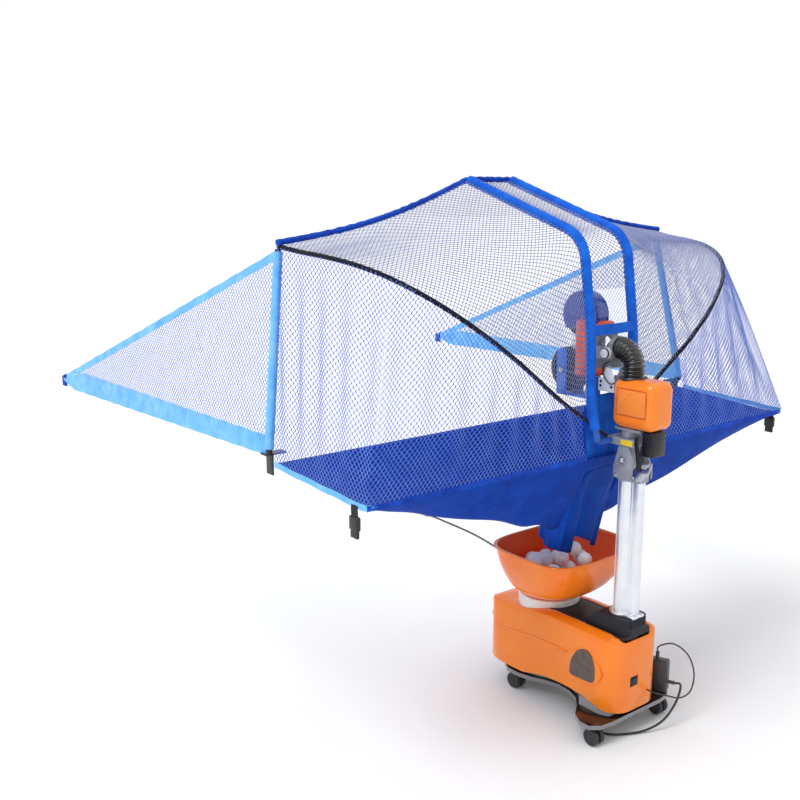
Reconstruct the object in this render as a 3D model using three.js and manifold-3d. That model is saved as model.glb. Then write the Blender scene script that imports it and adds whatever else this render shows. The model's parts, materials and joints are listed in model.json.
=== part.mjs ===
// Table tennis robot with its catch net: a hopper on casters feeds balls up a column, through a ribbed
// hose and between two throw wheels, and a net on the end of the table brings the balls back.
// Millimetres, +Z up. Balls are thrown towards -Y. The model is measured from the end edge of the table,
// which lies along X, and is moved at the end so that the origin is on the floor below its middle.

import * as THREE from 'three';
import { mergeVertices } from 'three/addons/utils/BufferGeometryUtils.js';
import { RoundedBoxGeometry } from 'three/addons/geometries/RoundedBoxGeometry.js';
import Module from 'manifold-3d';

const wasm = await Module();
wasm.setup();

// Driving dimensions
const ballDiameter = 40;
const tableWidth = 1525;
const tableHeight = 760;
const tableHalf = tableWidth / 2;
const ballBore = ballDiameter + 3; // every duct that a ball runs through
const ductWall = 2.8;
const fit = 0.4; // gap between pieces that touch
const running = 0.4; // gap round a pin or a shaft that turns
const lap = 1; // how far two shapes of one piece run into each other
const overrun = 5; // how far a cutter passes its piece

// Base: casters and tray
const casterWheelRadius = 22;
const casterWheelWidth = 13;
const casterWebThickness = 6;
const casterTrail = 13;
const casterAxleRadius = 3;
const casterStemRadius = 5;
const casterHeight = 50; // floor to the underside of the tray
const frontCaster = new THREE.Vector2(66, 109);
const rearCaster = new THREE.Vector2(127, 446);
const trayThickness = 12;
const trayHalfWidth = 158;
const trayFront = 62;
const trayRear = 489;
const plinthHeight = 28;
const plinthShare = 0.8;

// Base: housing, deck and hopper
const housingHalfWidth = 97;
const housingFront = 18;
const housingRear = 491;
const housingTop = 272;
const housingFrontTop = 252;
const housingWall = 3;
const housingCorner = 62;
const housingShoulder = 24;
const columnY = 428; // axis of the ball bore in the column
const hopperY = 175; // axis of the hopper and the feed wheel
const ringRadius = 84;
const ringBore = 76;
const ringTop = 288;
const ringBottom = 249;
const bowlRimHeight = 431;
const bowlHalfWidth = 166;
const bowlHalfDepth = 141;
const bowlRimY = 224; // middle of the rim, behind the middle of the ring
const bowlWall = 2.6;
const ringSides = 20; // flats round the ring, its hole and the bowl

// Column and fold joint. The column is as long as the table is high, so that the head clears it.
const columnBelowTable = 60;
const columnTop = tableHeight - columnBelowTable;
const columnRadius = ballBore / 2 + ductWall;
const ribHalfWidth = 14;
const ribDepth = 20; // how far the cable rib stands behind the tube
const foldBehind = 4; // from the axis of the column to the pin
const foldRise = 18;
const foldY = columnY + foldBehind;
const foldHeight = columnTop + foldRise;

// Upper box and hose
const boxHalfWidth = 44;
const boxAhead = 33; // from the axis of the column to the front of the box
const boxDepth = 129;
const boxHeight = 120;
const knuckleHeight = 100; // from the column to the box
const boxFront = columnY - boxAhead;
const boxRear = boxFront + boxDepth;
const boxBottom = columnTop + knuckleHeight;
const boxTop = boxBottom + boxHeight;
const hoseBend = 45;
const hoseRise = 24;
const hoseEndStraight = 3;
const hoseEndY = columnY - hoseBend - hoseEndStraight;
const hoseStraightTop = boxTop + hoseRise;
const hoseAxisHeight = hoseStraightTop + hoseBend;

// Head
const tiltAhead = 4; // from the end of the hose to the tilt axis
const tiltBelow = 11; // from the middle of the hose's end down to the tilt axis
const tiltY = hoseEndY - tiltAhead;
const tiltHeight = hoseAxisHeight - tiltBelow;
const swingAhead = 50;
const swingY = tiltY - swingAhead;
const wheelRadius = 57;
const wheelWidth = 26;
const ballSqueeze = 2.5;
const wheelsAhead = 80; // from the swing axis to the middle between the wheels
const wheelsAbove = 9.5;
const wheelMidY = swingY - wheelsAhead;
const wheelMidHeight = tiltHeight + wheelsAbove;
const wheelSlant = 17; // degrees that the line through both wheels leans back

// Catch net
const poleRadius = 8;
const footOut = 12.5; // from the table's side out to the foot of the pole
const footBelow = 2;
const poleIn = 66.5;
const poleRise = 472;
const poleLean = 68;
const poleFoot = new THREE.Vector3(tableHalf + footOut, -footBelow, tableHeight - footBelow);
const poleTop = new THREE.Vector3(tableHalf - poleIn, -poleLean, tableHeight + poleRise);
const armSpread = 79; // from the middle to either arm
const peakRise = 634;
const peakAhead = 88;
const bendRise = 497;
const bendBehind = 323;
const peak = new THREE.Vector3(armSpread, -peakAhead, tableHeight + peakRise);
const armBend = new THREE.Vector3(armSpread, bendBehind, tableHeight + bendRise);
const armRadius = 9;
const rodRadius = 4;
const wingOut = 39.5;
const wingLength = 1268;
const wingRise = 6;
const wingTip = new THREE.Vector3(tableHalf + wingOut, -wingLength, tableHeight + wingRise);
const tipOut = 7.5;
const tipBehind = 373;
const tipBelow = 33;
const trayTip = new THREE.Vector3(tableHalf + tipOut, tipBehind, tableHeight - tipBelow);
const keelClear = 59; // from the rim of the bowl up to the lowest cloth
const keelHeight = bowlRimHeight + keelClear;
const netThickness = 1.4;
const clothThickness = 1.6;
const bandThickness = 2.2;

const up = new THREE.Vector3(0, 0, 1);
const model = new THREE.Group();
const paint = {
  orange: [0xf2761b, 0.3, 0],
  black: [0x17181b, 0.4, 0],
  slate: [0x2a3038, 0.45, 0],
  white: [0xf1f1ee, 0.4, 0],
  grey: [0x8d9096, 0.45, 0.5],
  paleGrey: [0xcfd3d6, 0.5, 0],
  silver: [0xc9ccd1, 0.3, 0.9],
  blue: [0x1c58b8, 0.6, 0],
  cloth: [0x1440a8, 0.85, 0],
  band: [0x3f97e2, 0.8, 0],
  mesh: [0xdfe4f4, 0.8, 0],
  rubber: [0x202024, 0.9, 0],
  guard: [0x22284f, 0.3, 0],
  board: [0x1f6b3f, 0.6, 0],
  lamp: [0xffe9e6, 0.2, 0],
};

function add(name, geometry, [color, roughness, metalness]) {
  const mesh = new THREE.Mesh(geometry, new THREE.MeshStandardMaterial({ color, roughness, metalness }));
  mesh.name = name;
  model.add(mesh);
  return mesh;
}

// Joining and cutting

function toSolid(geometry) {
  const bare = geometry.clone();
  bare.deleteAttribute('normal');
  bare.deleteAttribute('uv');
  const merged = mergeVertices(bare);
  const corners = merged.index.array;
  const kept = [];
  for (let i = 0; i < corners.length; i += 3) {
    const [a, b, c] = [corners[i], corners[i + 1], corners[i + 2]];
    if (a !== b && b !== c && c !== a) kept.push(a, b, c);
  }
  const vertProperties = new Float32Array(merged.attributes.position.array);
  return new wasm.Manifold(new wasm.Mesh({ numProp: 3, vertProperties, triVerts: new Uint32Array(kept) }));
}

function fromSolid(solid) {
  const { vertProperties, triVerts } = solid.getMesh();
  const geometry = new THREE.BufferGeometry();
  geometry.setAttribute('position', new THREE.BufferAttribute(vertProperties, 3));
  geometry.setIndex(new THREE.BufferAttribute(triVerts, 1));
  geometry.computeVertexNormals();
  return geometry;
}

const join = (...pieces) => fromSolid(pieces.map(toSolid).reduce((all, next) => all.add(next)));
const cut = (body, ...tools) => (
  fromSolid(tools.map(toSolid).reduce((all, next) => all.subtract(next), toSolid(body))));
const common = (one, other) => fromSolid(toSolid(one).intersect(toSolid(other)));

// Basic shapes. Each is placed by its low and high ends along one axis.

function aim(geometry, axis) {
  if (axis === 'z') geometry.rotateX(Math.PI / 2);
  if (axis === 'x') geometry.rotateZ(-Math.PI / 2);
  return geometry;
}

function cylinder(radius, low, high, axis = 'z', sides = 20) {
  const geometry = new THREE.CylinderGeometry(radius, radius, high - low, sides);
  geometry.translate(0, (low + high) / 2, 0);
  return aim(geometry, axis);
}

function turned(profile, axis = 'z', sides = 20) {
  const points = profile.map(([radius, height]) => new THREE.Vector2(radius, height));
  return aim(new THREE.LatheGeometry(points, sides), axis);
}

function block([x0, x1], [y0, y1], [z0, z1]) {
  const geometry = new THREE.BoxGeometry(x1 - x0, y1 - y0, z1 - z0);
  return geometry.translate((x0 + x1) / 2, (y0 + y1) / 2, (z0 + z1) / 2);
}

function softBlock([x0, x1], [y0, y1], [z0, z1], radius, segments = 2) {
  const geometry = new RoundedBoxGeometry(x1 - x0, y1 - y0, z1 - z0, segments, radius);
  return geometry.translate((x0 + x1) / 2, (y0 + y1) / 2, (z0 + z1) / 2);
}

// An outline pushed along an axis: (x, y) along z, (y, z) along x, or (x, z) along y
function slab(outline, low, high, axis = 'z', curveSegments = 5) {
  const corners = Array.isArray(outline) && outline.map(([u, v]) => new THREE.Vector2(u, v));
  const shape = corners ? new THREE.Shape(corners) : outline;
  const geometry = new THREE.ExtrudeGeometry(shape, { depth: high - low, bevelEnabled: false, curveSegments });
  if (axis === 'y') return geometry.translate(0, 0, -high).rotateX(Math.PI / 2);
  geometry.translate(0, 0, low);
  if (axis === 'z') return geometry;
  const [sideways, upright, depth] = [new THREE.Vector3(0, 1, 0), up, new THREE.Vector3(1, 0, 0)];
  return geometry.applyMatrix4(new THREE.Matrix4().makeBasis(sideways, upright, depth));
}

function roundedRect(u0, u1, v0, v1, radius) {
  const shape = new THREE.Shape();
  shape.absarc(u1 - radius, v1 - radius, radius, 0, Math.PI / 2);
  shape.absarc(u0 + radius, v1 - radius, radius, Math.PI / 2, Math.PI);
  shape.absarc(u0 + radius, v0 + radius, radius, Math.PI, Math.PI * 1.5);
  shape.absarc(u1 - radius, v0 + radius, radius, Math.PI * 1.5, Math.PI * 2);
  return shape;
}

const mirrored = (geometry) => fromSolid(toSolid(geometry).mirror([1, 0, 0]));
const bothSides = (geometry) => join(geometry, mirrored(geometry));
const at = (geometry, x, y, z) => geometry.clone().translate(x, y, z);
const upright = (radius, y, low, high) => at(cylinder(radius, low, high, 'z', 12), 0, y, 0);

// The same piece on both sides of the middle, as two nodes
function addPair(name, geometry, colours) {
  add(`${name}_right`, geometry, colours);
  add(`${name}_left`, mirrored(geometry), colours);
}

// A straight or curved tube
function tube(curve, radius, steps, sides = 8) {
  const section = new THREE.Shape(new THREE.EllipseCurve(0, 0, radius, radius).getPoints(sides).slice(0, sides));
  return new THREE.ExtrudeGeometry(section, { steps, extrudePath: curve });
}

// Straight runs through the points, with every inner corner rounded
function roundedPath(points, radius) {
  const path = new THREE.CurvePath();
  let start = points[0];
  for (let i = 1; i < points.length - 1; i += 1) {
    const [before, corner, after] = [points[i - 1], points[i], points[i + 1]];
    const reach = Math.min(radius, corner.distanceTo(before) / 2, corner.distanceTo(after) / 2);
    const entry = corner.clone().add(before.clone().sub(corner).setLength(reach));
    const exit = corner.clone().add(after.clone().sub(corner).setLength(reach));
    path.add(new THREE.LineCurve3(start, entry));
    path.add(new THREE.QuadraticBezierCurve3(entry, corner, exit));
    start = exit;
  }
  path.add(new THREE.LineCurve3(start, points.at(-1)));
  return path;
}

// A thin sheet over a grid of points, rows by columns. The share that gapShare gives for a cell is left
// open in its middle: 0 keeps the cell whole and 1 leaves it out. A wrapped grid closes on itself.
function sheet(rows, thickness, gapShare = () => 0, wrapped = false) {
  const [rowCount, columnCount] = [rows.length, rows[0].length];
  const pick = (i, j) => rows[i][wrapped ? (j + columnCount) % columnCount : j];
  const points = [];
  const normals = [];
  for (let i = 0; i < rowCount; i += 1) {
    for (let j = 0; j < columnCount; j += 1) {
      const along = pick(Math.min(i + 1, rowCount - 1), j).clone().sub(pick(Math.max(i - 1, 0), j));
      const [left, right] = wrapped ? [j - 1, j + 1] : [Math.max(j - 1, 0), Math.min(j + 1, columnCount - 1)];
      const across = pick(i, right).clone().sub(pick(i, left));
      points.push(pick(i, j));
      normals.push(along.cross(across).normalize());
    }
  }
  const faces = [];
  const cells = wrapped ? columnCount : columnCount - 1;
  for (let i = 0; i < rowCount - 1; i += 1) {
    for (let j = 0; j < cells; j += 1) {
      const next = (j + 1) % columnCount;
      const ring = [[i, j], [i + 1, j], [i + 1, next], [i, next]].map(([r, c]) => r * columnCount + c);
      const share = gapShare(i, j);
      if (share >= 1) continue;
      if (share === 0) {
        faces.push([ring[0], ring[1], ring[2]], [ring[0], ring[2], ring[3]]);
        continue;
      }
      const middle = ring.reduce((sum, k) => sum.add(points[k]), new THREE.Vector3()).divideScalar(4);
      const normal = ring.reduce((sum, k) => sum.add(normals[k]), new THREE.Vector3()).normalize();
      const inner = ring.map((k) => {
        points.push(middle.clone().lerp(points[k], share));
        normals.push(normal);
        return points.length - 1;
      });
      for (let k = 0; k < 4; k += 1) {
        const m = (k + 1) % 4;
        faces.push([ring[k], ring[m], inner[m]], [ring[k], inner[m], inner[k]]);
      }
    }
  }
  const count = points.length;
  const edges = new Set(faces.flatMap(([a, b, c]) => [`${a} ${b}`, `${b} ${c}`, `${c} ${a}`]));
  const index = [];
  for (const [a, b, c] of faces) {
    index.push(a, b, c, count + a, count + c, count + b);
    for (const [p, q] of [[a, b], [b, c], [c, a]]) {
      if (!edges.has(`${q} ${p}`)) index.push(q, p, count + p, q, count + p, count + q);
    }
  }
  const layer = (side) => points.flatMap((point, k) => (
    point.clone().addScaledVector(normals[k], side * thickness / 2).toArray()));
  const geometry = new THREE.BufferGeometry();
  geometry.setAttribute('position', new THREE.Float32BufferAttribute([...layer(1), ...layer(-1)], 3));
  geometry.setIndex(index);
  return fromSolid(toSolid(geometry));
}

// A ribbon along the points, as wide as twice the vector across
const ribbon = (points, across) => (
  sheet(points.map((point) => [point.clone().sub(across), point.clone().add(across)]), bandThickness));

// A closed skin over rings of points; the last ring is the first again
function loft(rings) {
  const steps = rings[0].length;
  const index = [];
  for (let i = 0; i < rings.length - 1; i += 1) {
    for (let k = 0; k < steps; k += 1) {
      const [a, b] = [i * steps + k, i * steps + (k + 1) % steps];
      index.push(a, b, b + steps, a, b + steps, a + steps);
    }
  }
  const geometry = new THREE.BufferGeometry();
  geometry.setAttribute('position', new THREE.Float32BufferAttribute(rings.flat().flat(), 3));
  geometry.setIndex(index);
  return fromSolid(toSolid(geometry));
}

// Casters: a fork that swivels under the tray, and twin wheels on one axle
{
  const hubRadius = 9;
  const crownRadius = 12;
  const crownHeight = 5;
  const stemLength = trayThickness - lap * 2;
  const webOutline = (reach) => {
    const shape = new THREE.Shape();
    shape.moveTo(-crownRadius, casterHeight - fit - crownHeight);
    shape.lineTo(0, casterWheelRadius - hubRadius);
    shape.absarc(reach, casterWheelRadius, hubRadius, -Math.PI / 2, Math.PI / 2);
    shape.lineTo(crownRadius, casterHeight - fit - crownHeight);
    return shape;
  };
  const web = slab(webOutline(casterTrail), -casterWebThickness / 2, casterWebThickness / 2, 'x', 4);
  const crown = cylinder(crownRadius, casterHeight - fit - crownHeight - lap, casterHeight - fit, 'z', 10);
  const stem = cylinder(casterStemRadius, casterHeight - fit - lap, casterHeight + stemLength, 'z', 8);
  const axleHole = at(cylinder(casterAxleRadius + running, -overrun * 2, overrun * 2, 'x', 8),
    0, casterTrail, casterWheelRadius);
  const fork = cut(join(web, crown, stem), axleHole);
  const inner = casterWebThickness / 2 + running * 2;
  const outer = inner + casterWheelWidth;
  const wheels = turned([
    [0, -outer], [casterWheelRadius, -outer], [casterWheelRadius, -inner], [casterAxleRadius, -inner],
    [casterAxleRadius, inner], [casterWheelRadius, inner], [casterWheelRadius, outer], [0, outer],
  ], 'x', 12);
  const places = {
    front_right: [frontCaster.x, frontCaster.y], front_left: [-frontCaster.x, frontCaster.y],
    rear_right: [rearCaster.x, rearCaster.y], rear_left: [-rearCaster.x, rearCaster.y],
  };
  for (const [place, [x, y]] of Object.entries(places)) {
    add(`caster_fork_${place}`, fork, paint.black).position.set(x, y, 0);
    add(`caster_wheels_${place}`, wheels, paint.black).position.set(x, y + casterTrail, casterWheelRadius);
  }
}

// Tray: narrow at its waist and broad over the rear casters, with a plinth under the housing
const trayShares = [
  [0, 0], [0.3, 0.01], [0.54, 0.07], [0.6, 0.2], [0.5, 0.33], [0.36, 0.45], [0.37, 0.58], [0.52, 0.7],
  [0.85, 0.79], [1, 0.89], [0.93, 0.975], [0.6, 1], [0, 1],
];

function trayOutline(share) {
  const middle = (trayFront + trayRear) / 2;
  const half = trayShares.map(([x, y]) => {
    const along = trayFront + (trayRear - trayFront) * y;
    return new THREE.Vector2(trayHalfWidth * x * share, middle + (along - middle) * (share + 1) / 2);
  });
  const side = new THREE.SplineCurve(half.slice(1, -1)).getPoints(14);
  const other = side.map(({ x, y }) => new THREE.Vector2(-x, y)).reverse();
  return new THREE.Shape([...side, ...other]);
}

const trayTop = casterHeight + trayThickness;
const plinthTop = trayTop + plinthHeight;
const feedMotorRadius = 18;
const gearModule = 1.8;
const feedGearTeeth = 20;
const pinionTeeth = 10;
const gearDistance = gearModule * (feedGearTeeth + pinionTeeth) / 2;
const feedMotorBottom = 122;
const channelRadius = ballBore / 2 + ductWall;
const channelHeight = 163; // axis of the level run of the ball channel
{
  const socketRadius = casterStemRadius + running;
  const sockets = [frontCaster, rearCaster].flatMap(({ x, y }) => [x, -x].map((side) => (
    at(cylinder(socketRadius, casterHeight - overrun, trayTop - lap, 'z', 8), side, y, 0))));
  const pedestalLip = 2;
  const pedestal = at(cylinder(feedMotorRadius + pedestalLip, plinthTop - lap, feedMotorBottom - fit, 'z', 14),
    0, hopperY - gearDistance, 0);
  const postRadius = 6;
  const postTop = housingFrontTop - housingWall - postRadius;
  const postPlaces = [[56, 110], [68, 433]];
  const posts = postPlaces.map(([x, y]) => at(cylinder(postRadius, plinthTop - lap, postTop, 'z', 8), x, y, 0));
  const plate = slab(trayOutline(1), casterHeight, trayTop);
  const plinth = common(slab(trayOutline(plinthShare), trayTop - lap, plinthTop), housingBody(housingWall + fit));
  const screwPosts = posts.map((post) => bothSides(post));
  add('base_tray', cut(join(plate, plinth, pedestal, ...screwPosts), ...sockets), paint.black);
}

// Housing: a rounded shell over the plinth, open below, with one opening on top for the ring and the deck
const deckHalfWidth = 60;
const deckRear = 480;
const deckCorner = 20;
const deckFront = hopperY + ringRadius / 2;
const deckOutline = (gap) => roundedRect(
  -deckHalfWidth - gap, deckHalfWidth + gap, deckFront - gap, deckRear + gap, deckCorner);

function housingBody(inset) {
  const [front, rear] = [housingFront + inset, housingRear - inset];
  const [top, frontTop] = [housingTop - inset, housingFrontTop - inset];
  const round = housingShoulder;
  const shelf = hopperY + ringRadius;
  const side = new THREE.Shape();
  side.moveTo(front + round, -overrun);
  side.lineTo(front + round, frontTop - housingCorner / 2);
  side.quadraticCurveTo(front + round, frontTop - round, front + housingCorner, frontTop - round);
  side.bezierCurveTo(hopperY, frontTop - round, hopperY, top - round, shelf, top - round);
  side.lineTo(rear - round * 2, top - round);
  side.quadraticCurveTo(rear - round, top - round, rear - round, top - round * 2);
  side.lineTo(rear - round, -overrun);
  const half = housingHalfWidth - inset;
  const along = new THREE.ExtrudeGeometry(side, {
    depth: 2 * (half - round), bevelSize: round, bevelThickness: round, bevelSegments: 2, curveSegments: 3,
  });
  along.translate(0, 0, round - half);
  const basis = new THREE.Matrix4().makeBasis(new THREE.Vector3(0, 1, 0), up, new THREE.Vector3(1, 0, 0));
  along.applyMatrix4(basis);
  const plan = slab(roundedRect(-half, half, front, rear, housingCorner - inset), 0, top + overrun, 'z', 3);
  return common(along, plan);
}

const switchPlace = new THREE.Vector2(20, 150); // x and z
const switchHalf = 11;
const switchRise = 8;
const switchDepth = 2.5;
const inletPlace = new THREE.Vector2(-30, 112); // x and z
const inletDepth = 4;
{
  const lowFront = 74;
  const lowMiddle = 97;
  const lowRear = 70;
  const hem = new THREE.Shape();
  hem.moveTo(housingFront - overrun, 0);
  hem.lineTo(housingFront - overrun, lowFront + overrun);
  hem.lineTo(housingFront, lowFront + overrun);
  hem.quadraticCurveTo((housingFront + hopperY) / 2, lowFront - overrun, hopperY, lowFront);
  hem.bezierCurveTo(
    hopperY + ringRadius, lowMiddle, hopperY + ringRadius, lowMiddle, columnY - ringRadius, lowMiddle);
  hem.bezierCurveTo(columnY, lowMiddle, columnY, lowRear, housingRear + overrun, lowRear);
  hem.lineTo(housingRear + overrun, 0);
  const reach = housingHalfWidth + overrun;
  const below = slab(hem, -reach, reach, 'x', 4);
  const ringHole = at(cylinder(ringRadius + fit, ringBottom, housingTop + overrun, 'z', ringSides),
    0, hopperY, 0);
  const deckHole = slab(deckOutline(fit), ringBottom, housingTop + overrun);

  // Raised oval plate with a D-shaped recess on each side
  const oval = new THREE.Vector2(388, 172); // y and z of its middle
  const ovalLength = 63;
  const ovalHeight = 42;
  const ovalDepth = 3;
  const recessRadius = 26;
  const face = housingHalfWidth;
  const outer = new THREE.Shape();
  outer.absellipse(oval.x, oval.y, ovalLength, ovalHeight, 0, Math.PI * 2);
  const pane = new THREE.Shape();
  pane.absarc(oval.x + recessRadius / 2, oval.y, recessRadius, Math.PI / 2, Math.PI * 1.5);
  const plates = bothSides(slab(outer, face - lap, face + ovalDepth, 'x', 6));
  const recesses = bothSides(slab(pane, face + ovalDepth / 2, face + ovalDepth + overrun, 'x', 4));

  // Rear wall: opening for the rocker switch and a raised inlet for the low-voltage lead
  const inletRadius = 6;
  const switchMargin = 2;
  const switchHole = block([switchPlace.x - switchHalf - fit, switchPlace.x + switchHalf + fit],
    [housingRear - housingWall - overrun, housingRear + overrun],
    [switchPlace.y - switchRise - switchMargin, switchPlace.y + switchRise + switchMargin]);
  const inlet = at(cylinder(inletRadius, housingRear - lap, housingRear + inletDepth, 'y', 12),
    inletPlace.x, 0, inletPlace.y);
  const shell = cut(housingBody(0), housingBody(housingWall), below, ringHole, deckHole, switchHole);
  add('base_housing', cut(join(shell, plates, inlet), recesses), paint.orange);
}

// Column outline: a round ball tube with a narrower cable rib behind it
function columnOutline(gap) {
  const radius = columnRadius + gap;
  const half = ribHalfWidth + gap;
  const rear = columnY + columnRadius + ribDepth + gap;
  const start = Math.asin(half / radius);
  const shape = new THREE.Shape();
  shape.absarc(0, columnY, radius, Math.PI / 2 + start, Math.PI * 2.5 - start);
  shape.lineTo(half, rear - ribHalfWidth / 2);
  shape.quadraticCurveTo(half, rear, half - ribHalfWidth / 2, rear);
  shape.lineTo(ribHalfWidth / 2 - half, rear);
  shape.quadraticCurveTo(-half, rear, -half, rear - ribHalfWidth / 2);
  return shape;
}
const columnSlab = (gap, low, high) => slab(columnOutline(gap), low, high, 'z', 8);

// Deck cover with the raised socket that the column stands in
const deckTop = housingTop - lap;
const deckThickness = 9;
const socketTop = 310;
const socketHalfWidth = 44;
const columnFoot = 206;
{
  const plate = slab(deckOutline(0), deckTop - deckThickness, deckTop);
  const rampFront = columnY - socketHalfWidth * 2;
  const rise = [
    [rampFront, deckTop - lap], [columnY - socketHalfWidth, socketTop], [deckRear, socketTop],
    [deckRear, deckTop - lap],
  ];
  const ramp = slab(rise, -socketHalfWidth, socketHalfWidth, 'x');
  const planOutline = roundedRect(
    -socketHalfWidth, socketHalfWidth, rampFront - overrun, deckRear, socketHalfWidth / 2);
  const plan = slab(planOutline, deckTop - lap, socketTop + overrun);
  const socket = common(ramp, plan);
  const bore = columnSlab(fit, deckTop - deckThickness - overrun, socketTop + overrun);
  const ringSpace = at(cylinder(ringRadius + fit, ringBottom, socketTop, 'z', ringSides), 0, hopperY, 0);
  add('deck_cover', cut(join(plate, socket), bore, ringSpace), paint.slate);

  const trimWidth = 9;
  const trimHeight = 7;
  const trim = columnSlab(trimWidth, socketTop + fit, socketTop + fit + trimHeight);
  const hole = columnSlab(fit, socketTop - overrun, socketTop + trimHeight + overrun);
  add('column_ring', cut(trim, hole), paint.silver);
}

// Column extrusion
{
  const ribWall = 2.5;
  const bore = at(cylinder(ballBore / 2, columnFoot - overrun, columnTop + overrun, 'z', 16), 0, columnY, 0);
  const slotFront = columnY + columnRadius + ribWall;
  const slotRear = columnY + columnRadius + ribDepth - ribWall;
  const slotHalf = ribHalfWidth - ribWall;
  const slot = block([-slotHalf, slotHalf], [slotFront, slotRear], [columnFoot - overrun, columnTop + overrun]);
  add('column', cut(columnSlab(0, columnFoot, columnTop), bore, slot), paint.silver);
}

// Trim of the housing: the lamp at the near front corner and the rocker switch at the rear
{
  const lampRadius = 5;
  const lampHeight = 196;
  const lampTurn = 45;
  const lamp = cylinder(lampRadius, housingCorner + fit, housingCorner + fit + lampRadius / 2, 'x', 12);
  lamp.rotateZ(THREE.MathUtils.degToRad(-lampTurn));
  add('status_lamp', lamp, paint.lamp).position.set(
    housingHalfWidth - housingCorner, housingFront + housingCorner, lampHeight);

  const inside = -6;
  const rocker = [[inside, inside], [switchDepth, -switchRise], [switchDepth / 3, 0], [switchDepth, switchRise],
    [inside, -inside]];
  add('power_switch', slab(rocker, -switchHalf, switchHalf, 'x'), paint.black).position.set(
    switchPlace.x, housingRear, switchPlace.y);
}

// Hopper ring and bowl
const bowlFoot = 262;
{
  const flare = 3;
  const ring = turned([
    [ringBore, ringBottom], [ringRadius, ringBottom], [ringRadius, ringTop - flare],
    [ringRadius - flare, ringTop], [ringBore, ringTop], [ringBore, ringBottom],
  ], 'z', ringSides);
  add('hopper_ring', at(ring, 0, hopperY, 0), paint.white);

  // Each level: share of the height, and of the way out to the rim. The neck is straight up past the ring.
  const neckClear = 2.7;
  const neckShare = (ringTop + neckClear - bowlFoot) / (bowlRimHeight - bowlFoot);
  const levelShares = [[0, 0], [neckShare, 0], [neckShare + 0.05, 0.2], [neckShare + 0.25, 0.62],
    [neckShare + 0.53, 0.88], [1, 1]];
  const steps = ringSides;
  const neck = ringBore - fit;
  const lipReach = 6;
  const level = ([rise, out], inset) => {
    const halfX = neck + (bowlHalfWidth - neck) * out - inset;
    const halfY = neck + (bowlHalfDepth - neck) * out - inset;
    const square = 2 + out * out * 2;
    const z = bowlFoot + (bowlRimHeight - bowlFoot) * rise;
    return Array.from({ length: steps }, (_, k) => {
      const angle = k / steps * Math.PI * 2;
      const [c, s] = [Math.cos(angle), Math.sin(angle)];
      const x = halfX * Math.sign(c) * Math.abs(c) ** (2 / square);
      const y = halfY * Math.sign(s) * Math.abs(s) ** (2 / square);
      return [x, hopperY + (bowlRimY - hopperY) * out + y, z];
    });
  };
  const lift = (ring, height) => ring.map(([x, y, z]) => [x, y, z + height]);
  const outside = levelShares.map((share) => level(share, 0));
  const rim = levelShares.at(-1);
  const lip = [level(rim, -lipReach), lift(level(rim, -lipReach), lipReach)];
  const inside = levelShares.map((share) => level(share, bowlWall)).reverse();
  const rings = [...outside, ...lip, lift(level(rim, bowlWall), lipReach), ...inside];
  add('hopper_bowl', loft([...rings, rings[0]]), paint.orange);
}

// Feed: a wheel with pockets drops balls into a channel that pushes them up the column
function gear(teeth, low, high, bore) {
  const pitch = gearModule * teeth / 2;
  const [root, tip] = [pitch - gearModule * 1.25, pitch + gearModule * 0.9];
  const shape = new THREE.Shape();
  const flankShares = [[-0.25, root], [-0.13, tip], [0.13, tip], [0.25, root]];
  for (let k = 0; k < teeth; k += 1) {
    flankShares.forEach(([share, radius], corner) => {
      const angle = (k + share * 0.94) / teeth * Math.PI * 2;
      const [x, y] = [radius * Math.cos(angle), radius * Math.sin(angle)];
      if (k === 0 && corner === 0) shape.moveTo(x, y);
      else shape.lineTo(x, y);
    });
  }
  const body = slab(shape, low, high);
  return bore ? cut(body, cylinder(bore, low - overrun, high + overrun, 'z', 12)) : body;
}

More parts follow.
